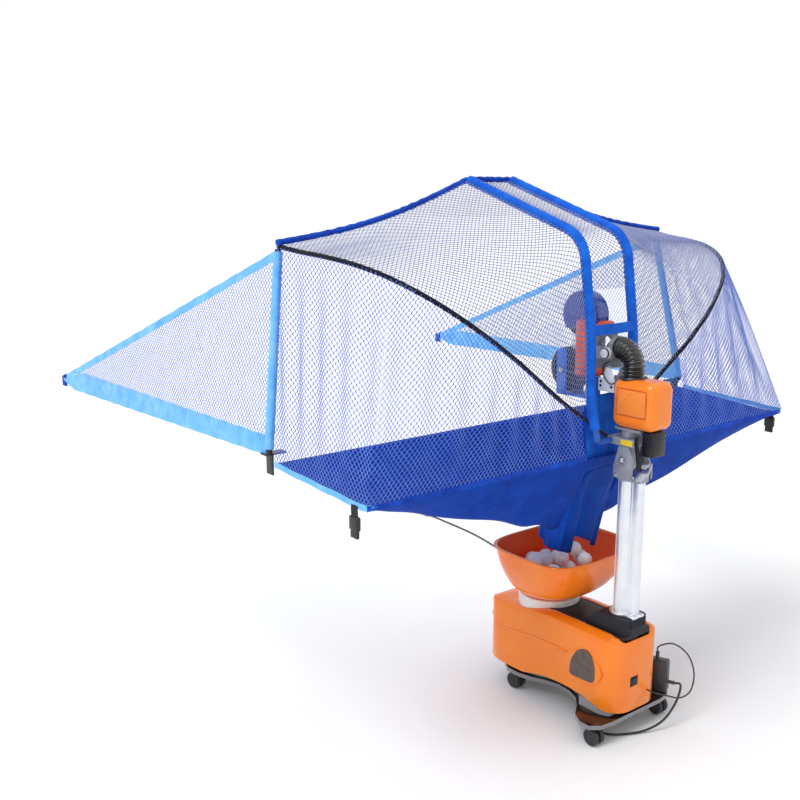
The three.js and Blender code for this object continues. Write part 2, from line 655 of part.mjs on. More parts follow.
{
  const pocketCircle = 48;
  const pocketMargin = 1.5;
  const pocketRadius = ballDiameter / 2 + pocketMargin;
  const pockets = 5;
  const discMargin = 4;
  const discRadius = ringBore - discMargin;
  const discThickness = 28;
  const [discLow, discHigh] = [ringBottom - discThickness, ringBottom];
  const floorThickness = 7.6;
  const floorHigh = discLow - fit;
  const floorLow = floorHigh - floorThickness;
  const gearThickness = 10;
  const gearHigh = floorLow - gearThickness * 0.4;
  const gearLow = gearHigh - gearThickness;
  const hubRadius = 7;
  const cone = 16;
  const disc = cylinder(discRadius, discLow, discHigh, 'z', 20);
  const holes = Array.from({ length: pockets }, (_, k) => {
    const angle = Math.PI / 2 + k / pockets * Math.PI * 2;
    return at(cylinder(pocketRadius, discLow - overrun, discHigh + overrun, 'z', 10),
      pocketCircle * Math.cos(angle), pocketCircle * Math.sin(angle), 0);
  });
  const hub = cylinder(hubRadius, gearLow, discLow + lap, 'z', 14);
  const stirrer = turned([[0, discHigh - lap], [cone, discHigh - lap], [0, discHigh + cone]], 'z', 14);
  const wheel = join(cut(disc, ...holes), hub, stirrer, gear(feedGearTeeth, gearLow, gearHigh));
  add('feed_wheel', wheel, paint.white).position.set(0, hopperY, 0);

  const shaftRadius = 3;
  const pinion = gear(pinionTeeth, gearLow, gearHigh, shaftRadius);
  pinion.rotateZ(Math.PI / 2 - Math.PI / pinionTeeth);
  add('feed_pinion', pinion, paint.white).position.set(0, hopperY - gearDistance, 0);

  const motorTop = gearLow - shaftRadius;
  const motor = join(cylinder(feedMotorRadius, feedMotorBottom, motorTop),
    cylinder(shaftRadius - fit / 2, motorTop - lap, gearHigh, 'z', 12));
  add('feed_motor', motor, paint.silver).position.set(0, hopperY - gearDistance, 0);

  const cupMargin = 3.5;
  const cupWall = 2.5;
  const cupRadius = discRadius + cupMargin + cupWall;
  const dropY = hopperY + pocketCircle;
  const level = (radius, gap) => at(cylinder(radius, dropY - gap, columnY + gap, 'y', 12), 0, 0, channelHeight);
  const cupOuter = upright(cupRadius, hopperY, floorLow, ringBottom - fit);
  const cupInner = upright(discRadius + cupMargin, hopperY, floorHigh, ringBottom + overrun);
  const endLap = 2;
  const outer = join(cut(cupOuter, cupInner), level(channelRadius, channelRadius - endLap),
    upright(channelRadius, dropY, channelHeight, floorLow + lap),
    upright(channelRadius, columnY, channelHeight, columnFoot - fit),
    block([-ductWall, ductWall], [dropY + channelRadius, columnY], [plinthTop + fit, channelHeight]));
  const bores = [level(ballBore / 2, ballBore / 2 - endLap),
    upright(ballBore / 2, dropY, channelHeight, floorHigh + overrun),
    upright(ballBore / 2, columnY, channelHeight, columnFoot + overrun),
    upright(hubRadius + running, hopperY, floorLow - overrun, floorHigh + overrun)];
  add('ball_channel', cut(outer, ...bores), paint.white);

  const boardX = [30, 78];
  const boardY = [352, 418];
  const boardThickness = 1.6;
  const partHeight = 14;
  const board = block(boardX, boardY, [plinthTop + fit, plinthTop + fit + boardThickness]);
  const middleX = (boardX[0] + boardX[1]) / 2;
  const parts = block([middleX, boardX[1] - overrun], [boardY[0] + overrun, boardY[1] - partHeight],
    [plinthTop + fit + boardThickness / 2, plinthTop + fit + partHeight]);
  add('control_board', join(board, parts), paint.board);
}

// Fold joint on the column top: clamp casting with two cheeks, knuckle with stub pins, net bracket, latch
const cheekInner = columnRadius + fit;
const cheekThickness = 5.5;
const bossHeight = 2; // how far the boss round the pin stands out of the cheek
const cheekRise = 34;
const cheekTop = foldHeight + cheekRise;
const cheekAhead = 29;
const cheekBehind = 44;
const cheekFront = foldY - cheekAhead;
const cheekRear = foldY + cheekBehind;
const clampLength = 36;
const clampLow = columnTop - clampLength;
const pinRadius = 5;
const barrelInBox = 60;
const knuckleTop = boxBottom + barrelInBox;
const collarThickness = 19.6;
const collarLow = cheekTop + fit;
const collarHigh = collarLow + collarThickness;
const collarAhead = 48;
const collarBehind = 34;
const collarFront = columnY - collarAhead;
const collarRear = columnY + collarBehind;
const collarHalf = 32;
const crossRadius = 7;
const crossWall = 4;
const crossY = collarFront + crossRadius + crossWall;
const crossHeight = (collarLow + collarHigh) / 2;
const latchBehind = 52;
const latchBelow = 14;
const latchPivot = new THREE.Vector2(foldY + latchBehind, foldHeight - latchBelow); // y and z
{
  const sleeveWall = 5;
  const cheekNarrow = 15;
  const bossRadius = 13;
  const sleeve = columnSlab(sleeveWall, clampLow, columnTop - overrun);
  const cheekOutline = [
    [cheekFront, clampLow + overrun], [cheekRear, clampLow + overrun], [cheekRear, columnTop],
    [foldY + cheekNarrow, cheekTop], [foldY - cheekNarrow, cheekTop], [cheekFront, columnTop],
  ];
  const cheek = slab(cheekOutline, cheekInner, cheekInner + cheekThickness, 'x');
  const boss = at(cylinder(bossRadius, cheekInner, cheekInner + cheekThickness + bossHeight, 'x', 14),
    0, foldY, foldHeight);
  const pinHole = at(cylinder(pinRadius + running, 0, cheekInner * 2, 'x', 12), 0, foldY, foldHeight);
  const bore = columnSlab(fit, clampLow - overrun, columnTop + overrun);
  const side = cut(join(cheek, boss), pinHole);
  add('clamp_casting', cut(join(sleeve, bothSides(side)), bore), paint.grey);

  const flangeHalf = 30;
  const flangeThickness = 9;
  const flangeRound = 4;
  const flangeLow = boxBottom - fit - flangeThickness;
  const flange = softBlock([-flangeHalf, flangeHalf],
    [columnY - columnRadius - overrun, columnY + columnRadius * 2], [flangeLow, boxBottom - fit], flangeRound, 1);
  const knuckleLow = columnTop + fit;
  const barrel = upright(columnRadius, columnY, knuckleLow, knuckleTop);
  const bossEnd = cheekInner + cheekThickness + bossHeight;
  const stubPins = at(cylinder(pinRadius, -bossEnd - bossHeight, bossEnd + bossHeight, 'x', 12),
    0, foldY, foldHeight);
  const knuckleBore = upright(ballBore / 2, columnY, knuckleLow - overrun, knuckleTop + overrun);
  add('fold_knuckle', cut(join(barrel, flange, stubPins), knuckleBore), paint.grey);

  // Net bracket: a collar round the knuckle, bored across for the tube that the arms end in
  const collarRound = 3;
  const collar = softBlock(
    [-collarHalf, collarHalf], [collarFront, collarRear], [collarLow, collarHigh], collarRound, 1);
  const around = upright(columnRadius + fit, columnY, collarLow - overrun, collarHigh + overrun);
  const across = at(cylinder(crossRadius + fit, -collarHalf - overrun, collarHalf + overrun, 'x', 10),
    0, crossY, crossHeight);
  add('net_bracket', cut(collar, around, across), paint.grey);

  // Latch: a slotted plate bolted to the rear of the casting and a lever hinged on it
  const plateThickness = 2.4;
  const plateX = cheekInner + cheekThickness + fit;
  const plateLap = 10;
  const plateReach = 38;
  const plateRise = 24;
  const plateFront = cheekRear - plateLap;
  const plateRear = latchPivot.x + plateReach;
  const plateLow = clampLow + plateLap;
  const plateHigh = latchPivot.y + plateRise;
  const leverPinRadius = 3;
  const slotRadius = 2.4;
  const plateOutline = new THREE.Shape();
  plateOutline.moveTo(plateFront, plateLow);
  plateOutline.lineTo(latchPivot.x + pinRadius, plateLow);
  plateOutline.lineTo(plateRear - pinRadius * 2, latchPivot.y - pinRadius * 2);
  plateOutline.lineTo(plateRear, plateHigh);
  plateOutline.lineTo(latchPivot.x, plateHigh - pinRadius * 1.5);
  plateOutline.lineTo(plateFront, columnTop);
  const slotTop = plateHigh - plateLap - lap * 3;
  const slotLow = slotTop - slotRadius * 2 - fit / 2;
  const slot = roundedRect(
    latchPivot.x + pinRadius * 2, plateRear - pinRadius * 2, slotLow, slotTop, slotRadius);
  const holeRadius = leverPinRadius + running;
  const pivotHole = new THREE.EllipseCurve(latchPivot.x, latchPivot.y, holeRadius, holeRadius);
  plateOutline.holes.push(new THREE.Path(slot.getPoints(3)), new THREE.Path(pivotHole.getPoints(10)));
  add('latch_plate', slab(plateOutline, plateX, plateX + plateThickness, 'x'), paint.silver);

  const leverX = plateX + plateThickness + fit;
  const leverThickness = 4;
  const leverHalf = 5;
  const leverLength = 78;
  const leverLean = 12;
  const sweep = new THREE.Shape();
  sweep.moveTo(leverHalf, 0);
  const [lowShare, highShare] = [0.4, 0.7];
  const [low, high] = [leverLength * lowShare, leverLength * highShare];
  sweep.bezierCurveTo(leverHalf * 2, low, leverHalf - leverLean, high, leverHalf - leverLean, leverLength);
  sweep.lineTo(-leverHalf / 2 - leverLean, leverLength);
  sweep.bezierCurveTo(-leverHalf - leverLean, high, -leverHalf, low, -leverHalf, 0);
  sweep.absarc(0, 0, leverHalf, Math.PI, Math.PI * 2);
  const lever = join(slab(sweep, leverX, leverX + leverThickness, 'x', 5),
    cylinder(leverPinRadius, plateX, leverX + lap, 'x', 10));
  add('latch_lever', lever, paint.black).position.set(0, latchPivot.x, latchPivot.y);

  const junctionHalf = 25;
  const junctionDepth = 36;
  const junctionHeight = 63;
  const junctionRound = 5;
  const junctionGap = 18;
  const junctionFront = collarRear + junctionGap;
  add('junction_block', softBlock([-junctionHalf, junctionHalf], [junctionFront, junctionFront + junctionDepth],
    [boxBottom - fit - junctionHeight, boxBottom - fit], junctionRound, 1), paint.black);
}

// Upper box with its flip lid
const hoseRadius = 28.5;
const lidMargin = 23; // from the front of the box to the lid
const lidRise = 36;
const lidHinge = new THREE.Vector3(boxHalfWidth, boxFront + lidMargin, boxBottom + lidRise);
{
  const corner = 24;
  const shellWall = 3;
  const hollow = softBlock([-boxHalfWidth + shellWall, boxHalfWidth - shellWall],
    [boxFront + shellWall, boxRear - shellWall], [boxBottom + shellWall, boxTop - shellWall], corner - shellWall, 1);
  const shell = softBlock([-boxHalfWidth, boxHalfWidth], [boxFront, boxRear], [boxBottom, boxTop], corner, 2);
  const knuckleHole = upright(columnRadius + fit, columnY, boxBottom - overrun, boxBottom + corner);
  const hoseHole = upright(hoseRadius + fit, columnY, boxTop - corner, boxTop + overrun);
  add('upper_box', cut(shell, hollow, knuckleHole, hoseHole), paint.orange);

  const lidLength = 84;
  const lidHeight = 61;
  const lidThickness = 2.6;
  const lidCorner = 9;
  const lid = roundedRect(0, lidLength, 0, lidHeight, lidCorner);
  add('box_lid', slab(lid, fit, fit + lidThickness, 'x'), paint.orange).position.copy(lidHinge);
}

// Ribbed hose: straight up out of the box, then bent forwards to the elbow
const hoseStart = knuckleTop + fit;
{
  const ribs = 17;
  const cuff = 5;
  const grooveDepth = 4.5;
  const boreRadius = ballBore / 2 + lap;
  const sides = 8;
  const straight = hoseStraightTop - hoseStart;
  const arc = hoseBend * Math.PI / 2;
  const length = straight + arc + hoseEndStraight;
  const ringAt = (distance, radius) => {
    const angle = THREE.MathUtils.clamp((distance - straight) / hoseBend, 0, Math.PI / 2);
    const beyond = Math.max(distance - straight - arc, 0);
    const centreY = columnY - hoseBend * (1 - Math.cos(angle)) - beyond;
    const centreZ = hoseStart + Math.min(distance, straight) + hoseBend * Math.sin(angle);
    return Array.from({ length: sides }, (_, k) => {
      const turn = (k + 0.5) / sides * Math.PI * 2;
      const out = radius * Math.sin(turn);
      return [radius * Math.cos(turn), centreY + out * Math.cos(angle), centreZ + out * Math.sin(angle)];
    });
  };
  const pitch = (length - cuff * 2) / ribs;
  const grooveRadius = hoseRadius - grooveDepth;
  const outer = [[0, grooveRadius], [cuff, grooveRadius]];
  for (let k = 0; k < ribs; k += 1) {
    outer.push([cuff + pitch * (k + 0.5), hoseRadius], [cuff + pitch * (k + 1), grooveRadius]);
  }
  outer.push([length, grooveRadius]);
  const boreRings = Math.ceil(ribs / 5);
  const bore = Array.from({ length: boreRings + 1 }, (_, k) => [length * (1 - k / boreRings), boreRadius]);
  const rings = [...outer, ...bore].map(([distance, radius]) => ringAt(distance, radius));
  add('hose', loft([...rings, rings[0]]), paint.rubber);
  console.log(`hose: gap between ribs ${(pitch / 2).toFixed(2)} mm, length ${length.toFixed(0)} mm`);
}

// Elbow with trunnions, held by the cradle, and the frame that tilts on it
const ballRadius = 33;
const trunnionRadius = 4;
const yokeGap = 3;
const yokeAhead = 8;
const yokeInner = ballRadius + yokeGap;
const yokeThickness = 6;
const yokeFront = tiltY - ballRadius - yokeAhead;
const yokeHalf = yokeInner + yokeThickness;
const swingLugHalf = 44;
const knobRadius = 13;
const knobThickness = 12;
{
  const collarLength = 10;
  const noseFlat = 6;
  const elbowRear = hoseEndY - fit;
  const joint = at(new THREE.SphereGeometry(ballRadius, 14, 8).rotateZ(Math.PI / 2), 0, tiltY, tiltHeight);
  const ends = [
    [tiltY - ballRadius - overrun, tiltY - ballRadius + noseFlat], [elbowRear, tiltY + ballRadius + overrun],
  ];
  const trims = ends.map((range) => block([-ballRadius * 2, ballRadius * 2], range,
    [tiltHeight - ballRadius * 2, tiltHeight + ballRadius * 2]));
  const level = (radius, front, rear) => at(cylinder(radius, front, rear, 'y', 14), 0, 0, hoseAxisHeight);
  const collar = level(hoseRadius, elbowRear - collarLength, elbowRear);
  const bore = level(ballBore / 2, tiltY - ballRadius - overrun, elbowRear + overrun);
  const trunnionEnd = yokeHalf + knobThickness;
  const trunnions = at(cylinder(trunnionRadius, -trunnionEnd, trunnionEnd, 'x', 12), 0, tiltY, tiltHeight);
  const stemHalf = 13;
  const stemDepth = 12;
  const stemFront = elbowRear - stemDepth;
  const cradleHalf = 31;
  const cradleSheet = 3;
  const cradleReach = 50;
  const cradleFront = boxFront - cradleReach;
  const cradleBelow = 40; // from the top of the box to the floor of the cradle
  const shoulderBelow = 8;
  const cradleFloor = boxTop - cradleBelow;
  const cradleShoulder = boxTop - shoulderBelow;
  const stemDrop = 37;
  const cradleTop = tiltHeight - stemDrop;
  const stem = block([-stemHalf, stemHalf], [stemFront, elbowRear], [cradleTop, tiltHeight - ballRadius / 2]);
  add('elbow', join(cut(join(joint, collar, stem), bore, ...trims), cut(trunnions, bore)), paint.grey);

  const seatFront = stemFront - lap;
  const seatRear = elbowRear + lap;
  const side = [
    [cradleFront, cradleFloor], [boxFront - fit, cradleFloor], [boxFront - fit, cradleShoulder],
    [seatRear, cradleTop - fit], [seatFront, cradleTop - fit], [seatFront - stemDepth, cradleShoulder],
    [cradleFront, cradleShoulder],
  ];
  const inside = block([-cradleHalf + cradleSheet, cradleHalf - cradleSheet], [cradleFront - overrun, boxFront + overrun],
    [cradleFloor + cradleSheet, cradleTop + overrun]);
  const seat = block([-cradleHalf + lap, cradleHalf - lap], [seatFront, seatRear],
    [cradleTop - fit - cradleSheet, cradleTop - fit]);
  add('cradle', join(cut(slab(side, -cradleHalf, cradleHalf, 'x'), inside), seat), paint.paleGrey);

  // Tilt frame: a yoke on the trunnions with two lugs in front that the head swings on
  const earRadius = 15;
  const lugHalf = 9;
  const lugThickness = 10;
  const pinReach = 9;
  const plateRound = 3;
  const plate = softBlock([-yokeHalf, yokeHalf], [yokeFront, yokeFront + yokeThickness],
    [tiltHeight - swingLugHalf, tiltHeight + swingLugHalf], plateRound, 1);
  const earOutline = new THREE.Shape();
  earOutline.moveTo(yokeFront + lap, tiltHeight - earRadius);
  earOutline.lineTo(tiltY, tiltHeight - earRadius);
  earOutline.absarc(tiltY, tiltHeight, earRadius, -Math.PI / 2, Math.PI / 2);
  earOutline.lineTo(yokeFront + lap, tiltHeight + earRadius);
  const ears = bothSides(slab(earOutline, yokeInner, yokeHalf, 'x', 4));
  const pivotHole = at(cylinder(trunnionRadius + running, -yokeHalf - overrun, yokeHalf + overrun, 'x', 12),
    0, tiltY, tiltHeight);
  const mouth = at(cylinder(ballBore / 2 + yokeGap, yokeFront - overrun, tiltY - ballRadius + yokeGap, 'y', 14),
    0, 0, wheelMidHeight);
  const lugs = [swingLugHalf - lugThickness, -swingLugHalf].map((low) => join(
    block([-lugHalf, lugHalf], [swingY, yokeFront + lap], [tiltHeight + low, tiltHeight + low + lugThickness]),
    upright(lugHalf, swingY, tiltHeight + low, tiltHeight + low + lugThickness)));
  const swingPins = [swingLugHalf - lap, -swingLugHalf - pinReach].map((low) => (
    upright(trunnionRadius, swingY, tiltHeight + low, tiltHeight + low + pinReach + lap)));
  add('tilt_frame', cut(join(plate, ears, ...lugs, ...swingPins), pivotHole, mouth), paint.grey);

  const knobLow = yokeHalf + fit;
  const knob = cut(cylinder(knobRadius, knobLow, knobLow + knobThickness, 'x', 16),
    cylinder(trunnionRadius + running, knobLow - overrun, knobLow + knobThickness + overrun, 'x', 12));
  add('tilt_knob', knob, paint.paleGrey).position.set(0, tiltY, tiltHeight);
}

// Head: two throw wheels above and below the ball's path
const wheelGap = 2 * wheelRadius + ballDiameter - ballSqueeze;
const slant = THREE.MathUtils.degToRad(wheelSlant);
const wheelStep = new THREE.Vector2(wheelGap / 2 * Math.sin(slant), wheelGap / 2 * Math.cos(slant));
const upperWheel = new THREE.Vector2(wheelMidY, wheelMidHeight).add(wheelStep); // y and z
const lowerWheel = new THREE.Vector2(wheelMidY, wheelMidHeight).sub(wheelStep);
{
  const bodyAhead = 62; // from the swing axis to the front and the rear of the body
  const bodyBehind = -14;
  const bodyFront = swingY - bodyAhead;
  const bodyRear = swingY + bodyBehind;
  const bodyHalf = 34;
  const bodyBelow = 74;
  const bodyAbove = 72;
  const bodyLow = tiltHeight - bodyBelow;
  const bodyHigh = tiltHeight + bodyAbove;
  const bodyRound = 8;
  const hoodHalf = 24;
  const hoodBehind = 21;
  const hoodRear = swingY + hoodBehind;
  const armHalf = 12;
  const armThickness = 20;
  const guardGap = 4;
  const guardMargin = 10;
  const guardRadius = wheelRadius + guardGap;
  const guardHalf = wheelWidth / 2 + guardMargin;
  const axleRadius = 4;
  const slotGap = 2.5;
  const slotMargin = 3;
  const wheelClear = wheelRadius + slotGap;
  const slotHalf = wheelWidth / 2 + slotMargin;
  const bodyBox = softBlock([-bodyHalf, bodyHalf], [bodyFront, bodyRear], [bodyLow, bodyHigh], bodyRound, 1);
  const hoodLow = tiltHeight + swingLugHalf + fit;
  const hood = softBlock([-hoodHalf, hoodHalf], [bodyRear - armHalf, hoodRear], [hoodLow, bodyHigh], bodyRound, 1);
  const armHigh = tiltHeight - swingLugHalf - fit;
  const arm = block([-armHalf, armHalf], [bodyRear - armHalf, swingY + armHalf], [armHigh - armThickness, armHigh]);
  const pinHole = upright(trunnionRadius + running, swingY, armHigh - armThickness - overrun, bodyHigh - armHalf);
  const guardSeat = at(cylinder(guardRadius + fit, -guardHalf - fit, guardHalf + fit, 'x', 18),
    0, upperWheel.x, upperWheel.y);
  const motorRadius = 21;
  const motorSeat = at(cylinder(motorRadius + lap, -bodyHalf - overrun, -guardHalf, 'x', 14),
    0, upperWheel.x, upperWheel.y);
  const wheelSlots = [upperWheel, lowerWheel].map((wheel) => (
    at(cylinder(wheelClear, -slotHalf, slotHalf, 'x', 18), 0, wheel.x, wheel.y)));
  const nozzleWall = 2.4;
  const nozzleRadius = ballBore / 2 + nozzleWall;
  const ballPath = (radius, front, rear) => at(cylinder(radius, front, rear, 'y', 14), 0, 0, wheelMidHeight);
  add('head_housing', cut(join(bodyBox, hood, arm), pinHole, guardSeat, motorSeat, ...wheelSlots,
    ballPath(nozzleRadius + fit, bodyFront - overrun, bodyRear + overrun)), paint.orange);

  const nozzleBehind = 4;
  const nozzleFront = wheelMidY;
  const nozzleRear = bodyRear + nozzleBehind;
  add('ball_nozzle', cut(ballPath(nozzleRadius, nozzleFront, nozzleRear),
    ballPath(ballBore / 2, nozzleFront - overrun, nozzleRear + overrun), ...wheelSlots), paint.white);

  // Fork that carries the lower wheel
  const forkHalfLength = 16;
  const forkBelow = 6; // from the tilt axis down to the top of the fork
  const forkHigh = tiltHeight - forkBelow;
  const forkSheet = 3.5;
  const forkInner = 31;
  const forkAhead = 20;
  const forkRear = swingY - forkAhead;
  const forkClear = 7;
  const forkLow = lowerWheel.y - wheelRadius - forkClear;
  const forkOutline = new THREE.Shape();
  forkOutline.moveTo(lowerWheel.x - forkHalfLength, forkLow);
  forkOutline.lineTo(lowerWheel.x + forkHalfLength, forkLow);
  forkOutline.lineTo(lowerWheel.x + forkHalfLength, forkHigh - forkHalfLength);
  forkOutline.absarc(lowerWheel.x, forkHigh - forkHalfLength, forkHalfLength, 0, Math.PI);
  const plates = bothSides(slab(forkOutline, forkInner, forkInner + forkSheet, 'x', 4));
  const floor = block([-forkInner - lap, forkInner + lap], [lowerWheel.x - forkHalfLength, forkRear],
    [forkLow, forkLow + forkSheet]);
  const riser = block([-hoodHalf, hoodHalf], [forkRear - forkSheet, forkRear], [forkLow, bodyLow - fit]);
  const forkHole = at(cylinder(axleRadius + running, -forkInner * 2, forkInner * 2, 'x', 12),
    0, lowerWheel.x, lowerWheel.y);
  add('lower_fork', cut(join(plates, floor, riser), forkHole), paint.blue);

  // Guard over the upper wheel, open towards the ball
  const guardWall = 2.5;
  const guardRound = 9;
  const guardProfile = (radius, half, round) => turned([
    [0, -half], [radius - round, -half], [radius, -half + round], [radius, half - round], [radius - round, half],
    [0, half],
  ], 'x', 18);
  const guardInside = guardProfile(guardRadius - guardWall, guardHalf - guardWall, guardRound - guardWall);
  const guardMouth = block([-guardHalf - overrun, guardHalf + overrun],
    [-guardRadius - overrun, guardRadius + overrun],
    [-guardRadius - overrun, -wheelRadius + ballDiameter / 2]);
  const axleHole = cylinder(axleRadius + running, -guardHalf - overrun, 0, 'x', 12);
  add('upper_guard', cut(guardProfile(guardRadius, guardHalf, guardRound), guardInside, guardMouth, axleHole),
    paint.guard).position.set(0, upperWheel.x, upperWheel.y);

  const rimDepth = 12;
  const web = 5;
  const motorLength = 46;
  const motorRound = 7;
  const motorWall = 4;
  const shaftDepth = 14; // how far the axle runs into its motor
  const throwPair = (place, wheel, motorStart, nearEnd) => {
    const farEnd = motorStart + shaftDepth;
    const [rim, half] = [wheelRadius - rimDepth, wheelWidth / 2];
    const body = turned([
      [0, -farEnd], [axleRadius, -farEnd], [axleRadius, -web], [rim, -web], [rim, -half], [wheelRadius, -half],
      [wheelRadius, half], [rim, half], [rim, web], [axleRadius, web], [axleRadius, nearEnd], [0, nearEnd],
    ], 'x', 16);
    add(`${place}_wheel`, body, paint.rubber).position.set(0, wheel.x, wheel.y);
    const motor = turned([
      [axleRadius + running, -motorStart], [motorRadius, -motorStart],
      [motorRadius, motorRound - motorStart - motorLength], [motorRadius - motorRound, -motorStart - motorLength],
      [0, -motorStart - motorLength], [0, motorWall - motorStart - motorLength],
      [axleRadius + running, motorWall - motorStart - motorLength], [axleRadius + running, -motorStart],
    ].reverse(), 'x', 12);
    add(`${place}_motor`, motor, paint.guard).position.set(0, wheel.x, wheel.y);
  };
  throwPair('upper', upperWheel, guardHalf + fit, guardHalf - guardWall - fit);
  const axleEnd = 2;
  throwPair('lower', lowerWheel, forkInner + forkSheet + fit, forkInner + forkSheet + axleEnd);
}

// Catch net: poles with table hooks, one bent tube for both arms, two flexible rods
const armLow = new THREE.Vector3(peak.x, crossY, crossHeight);
const besideHead = 16; // how far in front of the tilt axis the arm passes the head
const headRise = 22;
const turnDrop = 108;
const armHead = new THREE.Vector3(armSpread, tiltY - besideHead, tiltHeight + headRise);
const armTurn = new THREE.Vector3(armSpread, armHead.y + lap, tiltHeight - turnDrop);
const rodIn = 6;
const rodAhead = 15.7;
const rodAbove = 4.8;
const rodLow = new THREE.Vector3(collarHalf - rodIn, crossY - rodAhead, crossHeight + rodAbove);
const rodSeat = 6.5; // from the top of the pole to the middle of the rod
const rodCurve = (() => {
  // The points that pull the rod, from the pole's top and from the rod's low end, in shares of the pole's rise
  const offset = (from, ...shares) => from.clone().addScaledVector(new THREE.Vector3(...shares), poleRise);
  return new THREE.CubicBezierCurve3(
    poleTop.clone().setZ(poleTop.z + rodSeat), offset(poleTop, -0.133, 0.362, -0.068),
    offset(poleTop, 0.066, 1.148, 0.093), offset(rodLow, -0.119, -0.115, -0.087));
})();
const armRound = 60;
const armSteps = 14;
const armPath = roundedPath([peak, armBend, armHead, armTurn, armLow], armRound);

// Where the arm's middle lies at a height
function armYAt(height) {
  const spine = armPath.getSpacedPoints(armSteps);
  const below = Math.max(spine.findIndex(({ z }) => z <= height), 1);
  const [high, low] = [spine[below - 1], spine[below]];
  return THREE.MathUtils.mapLinear(height, low.z, high.z, low.y, high.y);
}

{
  const hookThickness = 4;
  const hookReach = 36;
  const hookLength = 28;
  const hookDrop = 48;
  const tube10 = tube(new THREE.LineCurve3(poleFoot, poleTop), poleRadius, 1, 10);
  const below = block([tableHalf - hookReach, tableWidth], [-tableWidth, tableWidth],
    [0, tableHeight + hookThickness / 2]);
  const lip = block([tableHalf - hookReach, poleFoot.x + poleRadius], [-hookLength, -fit],
    [tableHeight + fit, tableHeight + hookThickness]);
  const back = block([tableHalf + fit, tableHalf + fit + hookThickness], [-hookLength, -fit],
    [tableHeight - hookDrop, tableHeight + hookThickness - fit]);
  addPair('pole', join(cut(tube10, below), lip, back), paint.blue);

  const cross = at(cylinder(crossRadius, -peak.x, peak.x, 'x', 10), 0, crossY, crossHeight);
  add('net_arms', join(bothSides(tube(armPath, armRadius, armSteps, 8)), cross), paint.blue);

  const rodShares = [0, 0.12, 0.24, 0.36, 0.48, 0.6, 0.7, 0.8];
  const passingShares = new THREE.Vector3(1.09, -0.114, -0.05); // from the arm's turn, of its place beside the middle
  const beforeArm = armTurn.clone().addScaledVector(passingShares, armSpread);
  const rodPoints = [...rodShares.map((share) => rodCurve.getPoint(share)), beforeArm, rodLow];
  addPair('rod', tube(new THREE.CatmullRomCurve3(rodPoints), rodRadius, 16, 6), paint.black);
}

// Lines that the cloth and the mesh are drawn between, all on the +X side
const bandHalf = 11;
const hemRadius = 7;
const rimIn = 4;
const rimBehind = 16;
const rimBelow = 14;
const rimFront = new THREE.Vector3(poleFoot.x - rimIn, rimBehind, tableHeight - rimBelow);
const rimBeside = 3;
const rimSag = 5;
const rimCentre = new THREE.Vector3(armSpread + armRadius + rimBeside, trayTip.y - rimIn, trayTip.z - rimSag);
const rimPoint = (share) => (share < 0.5
  ? rimFront.clone().lerp(trayTip, share * 2)
  : trayTip.clone().lerp(rimCentre, share * 2 - 1));
const hemLine = (() => {
  const forward = peak.clone().sub(armBend).setLength(hemRadius + fit * 2);
  const centre = peak.clone().add(forward);
  const end = rodCurve.getPoint(0).add(new THREE.Vector3(poleRadius, hemRadius * 2, hemRadius * 2));
  return { centre, end };
})();

// Catch net: mesh from the arm over the rod and down to the rim, with a hem in front and a band on the rim
{
  const canopyCells = 3;
  const skirtCells = 3;
  const rowCells = 6;
  const gapShare = 0.86;
  const canopySag = 26;
  const [overX, overY] = [9, 13];
  const overRod = new THREE.Vector3(overX, overY, overX);
  const besideArm = armRadius + netThickness / 2 + fit;
  const rearShare = 0.87; // how far along the rod the mesh runs
  const armAt = (share) => {
    const [first, second] = [Math.min(share * 2, 1), Math.max(share * 2 - 1, 0)];
    const point = peak.clone().lerp(armBend, first).lerp(armTurn, second);
    if (second > 0) point.y = THREE.MathUtils.lerp(armBend.y, armTurn.y, Math.min(second * 2, 1));
    return point;
  };
  const rows = Array.from({ length: rowCells + 1 }, (_, i) => {
    const share = i / rowCells;
    const inner = i ? armAt(share) : hemLine.centre.clone();
    inner.x += besideArm;
    const hem = i ? rodCurve.getPoint(share * rearShare).add(overRod) : hemLine.end.clone();
    const rim = rimPoint(share);
    rim.z += bandHalf - bandThickness;
    const canopy = Array.from({ length: canopyCells }, (_, j) => {
      const across = j / canopyCells;
      const point = inner.clone().lerp(hem, across);
      point.z -= canopySag * Math.sin(Math.PI * across) * Math.sin(Math.PI * share);
      return point;
    });
    const skirt = Array.from({ length: skirtCells + 1 }, (_, j) => hem.clone().lerp(rim, j / skirtCells));
    return [...canopy, ...skirt];
  });
  const rimBand = ribbon([0, 0.25, 0.5, 0.75, 1].map(rimPoint), new THREE.Vector3(0, 0, bandHalf));
  const corner = hemLine.centre.clone().setX(peak.x + besideArm);
  const hems = [[hemLine.centre.clone().setX(-lap), corner], [corner, hemLine.end]].map(([from, to]) => (
    tube(new THREE.LineCurve3(from, to), hemRadius, 1, 6)));
  const side = join(sheet(rows, netThickness, () => gapShare), rimBand, ...hems);
  add('catch_net', bothSides(side), paint.mesh);
}

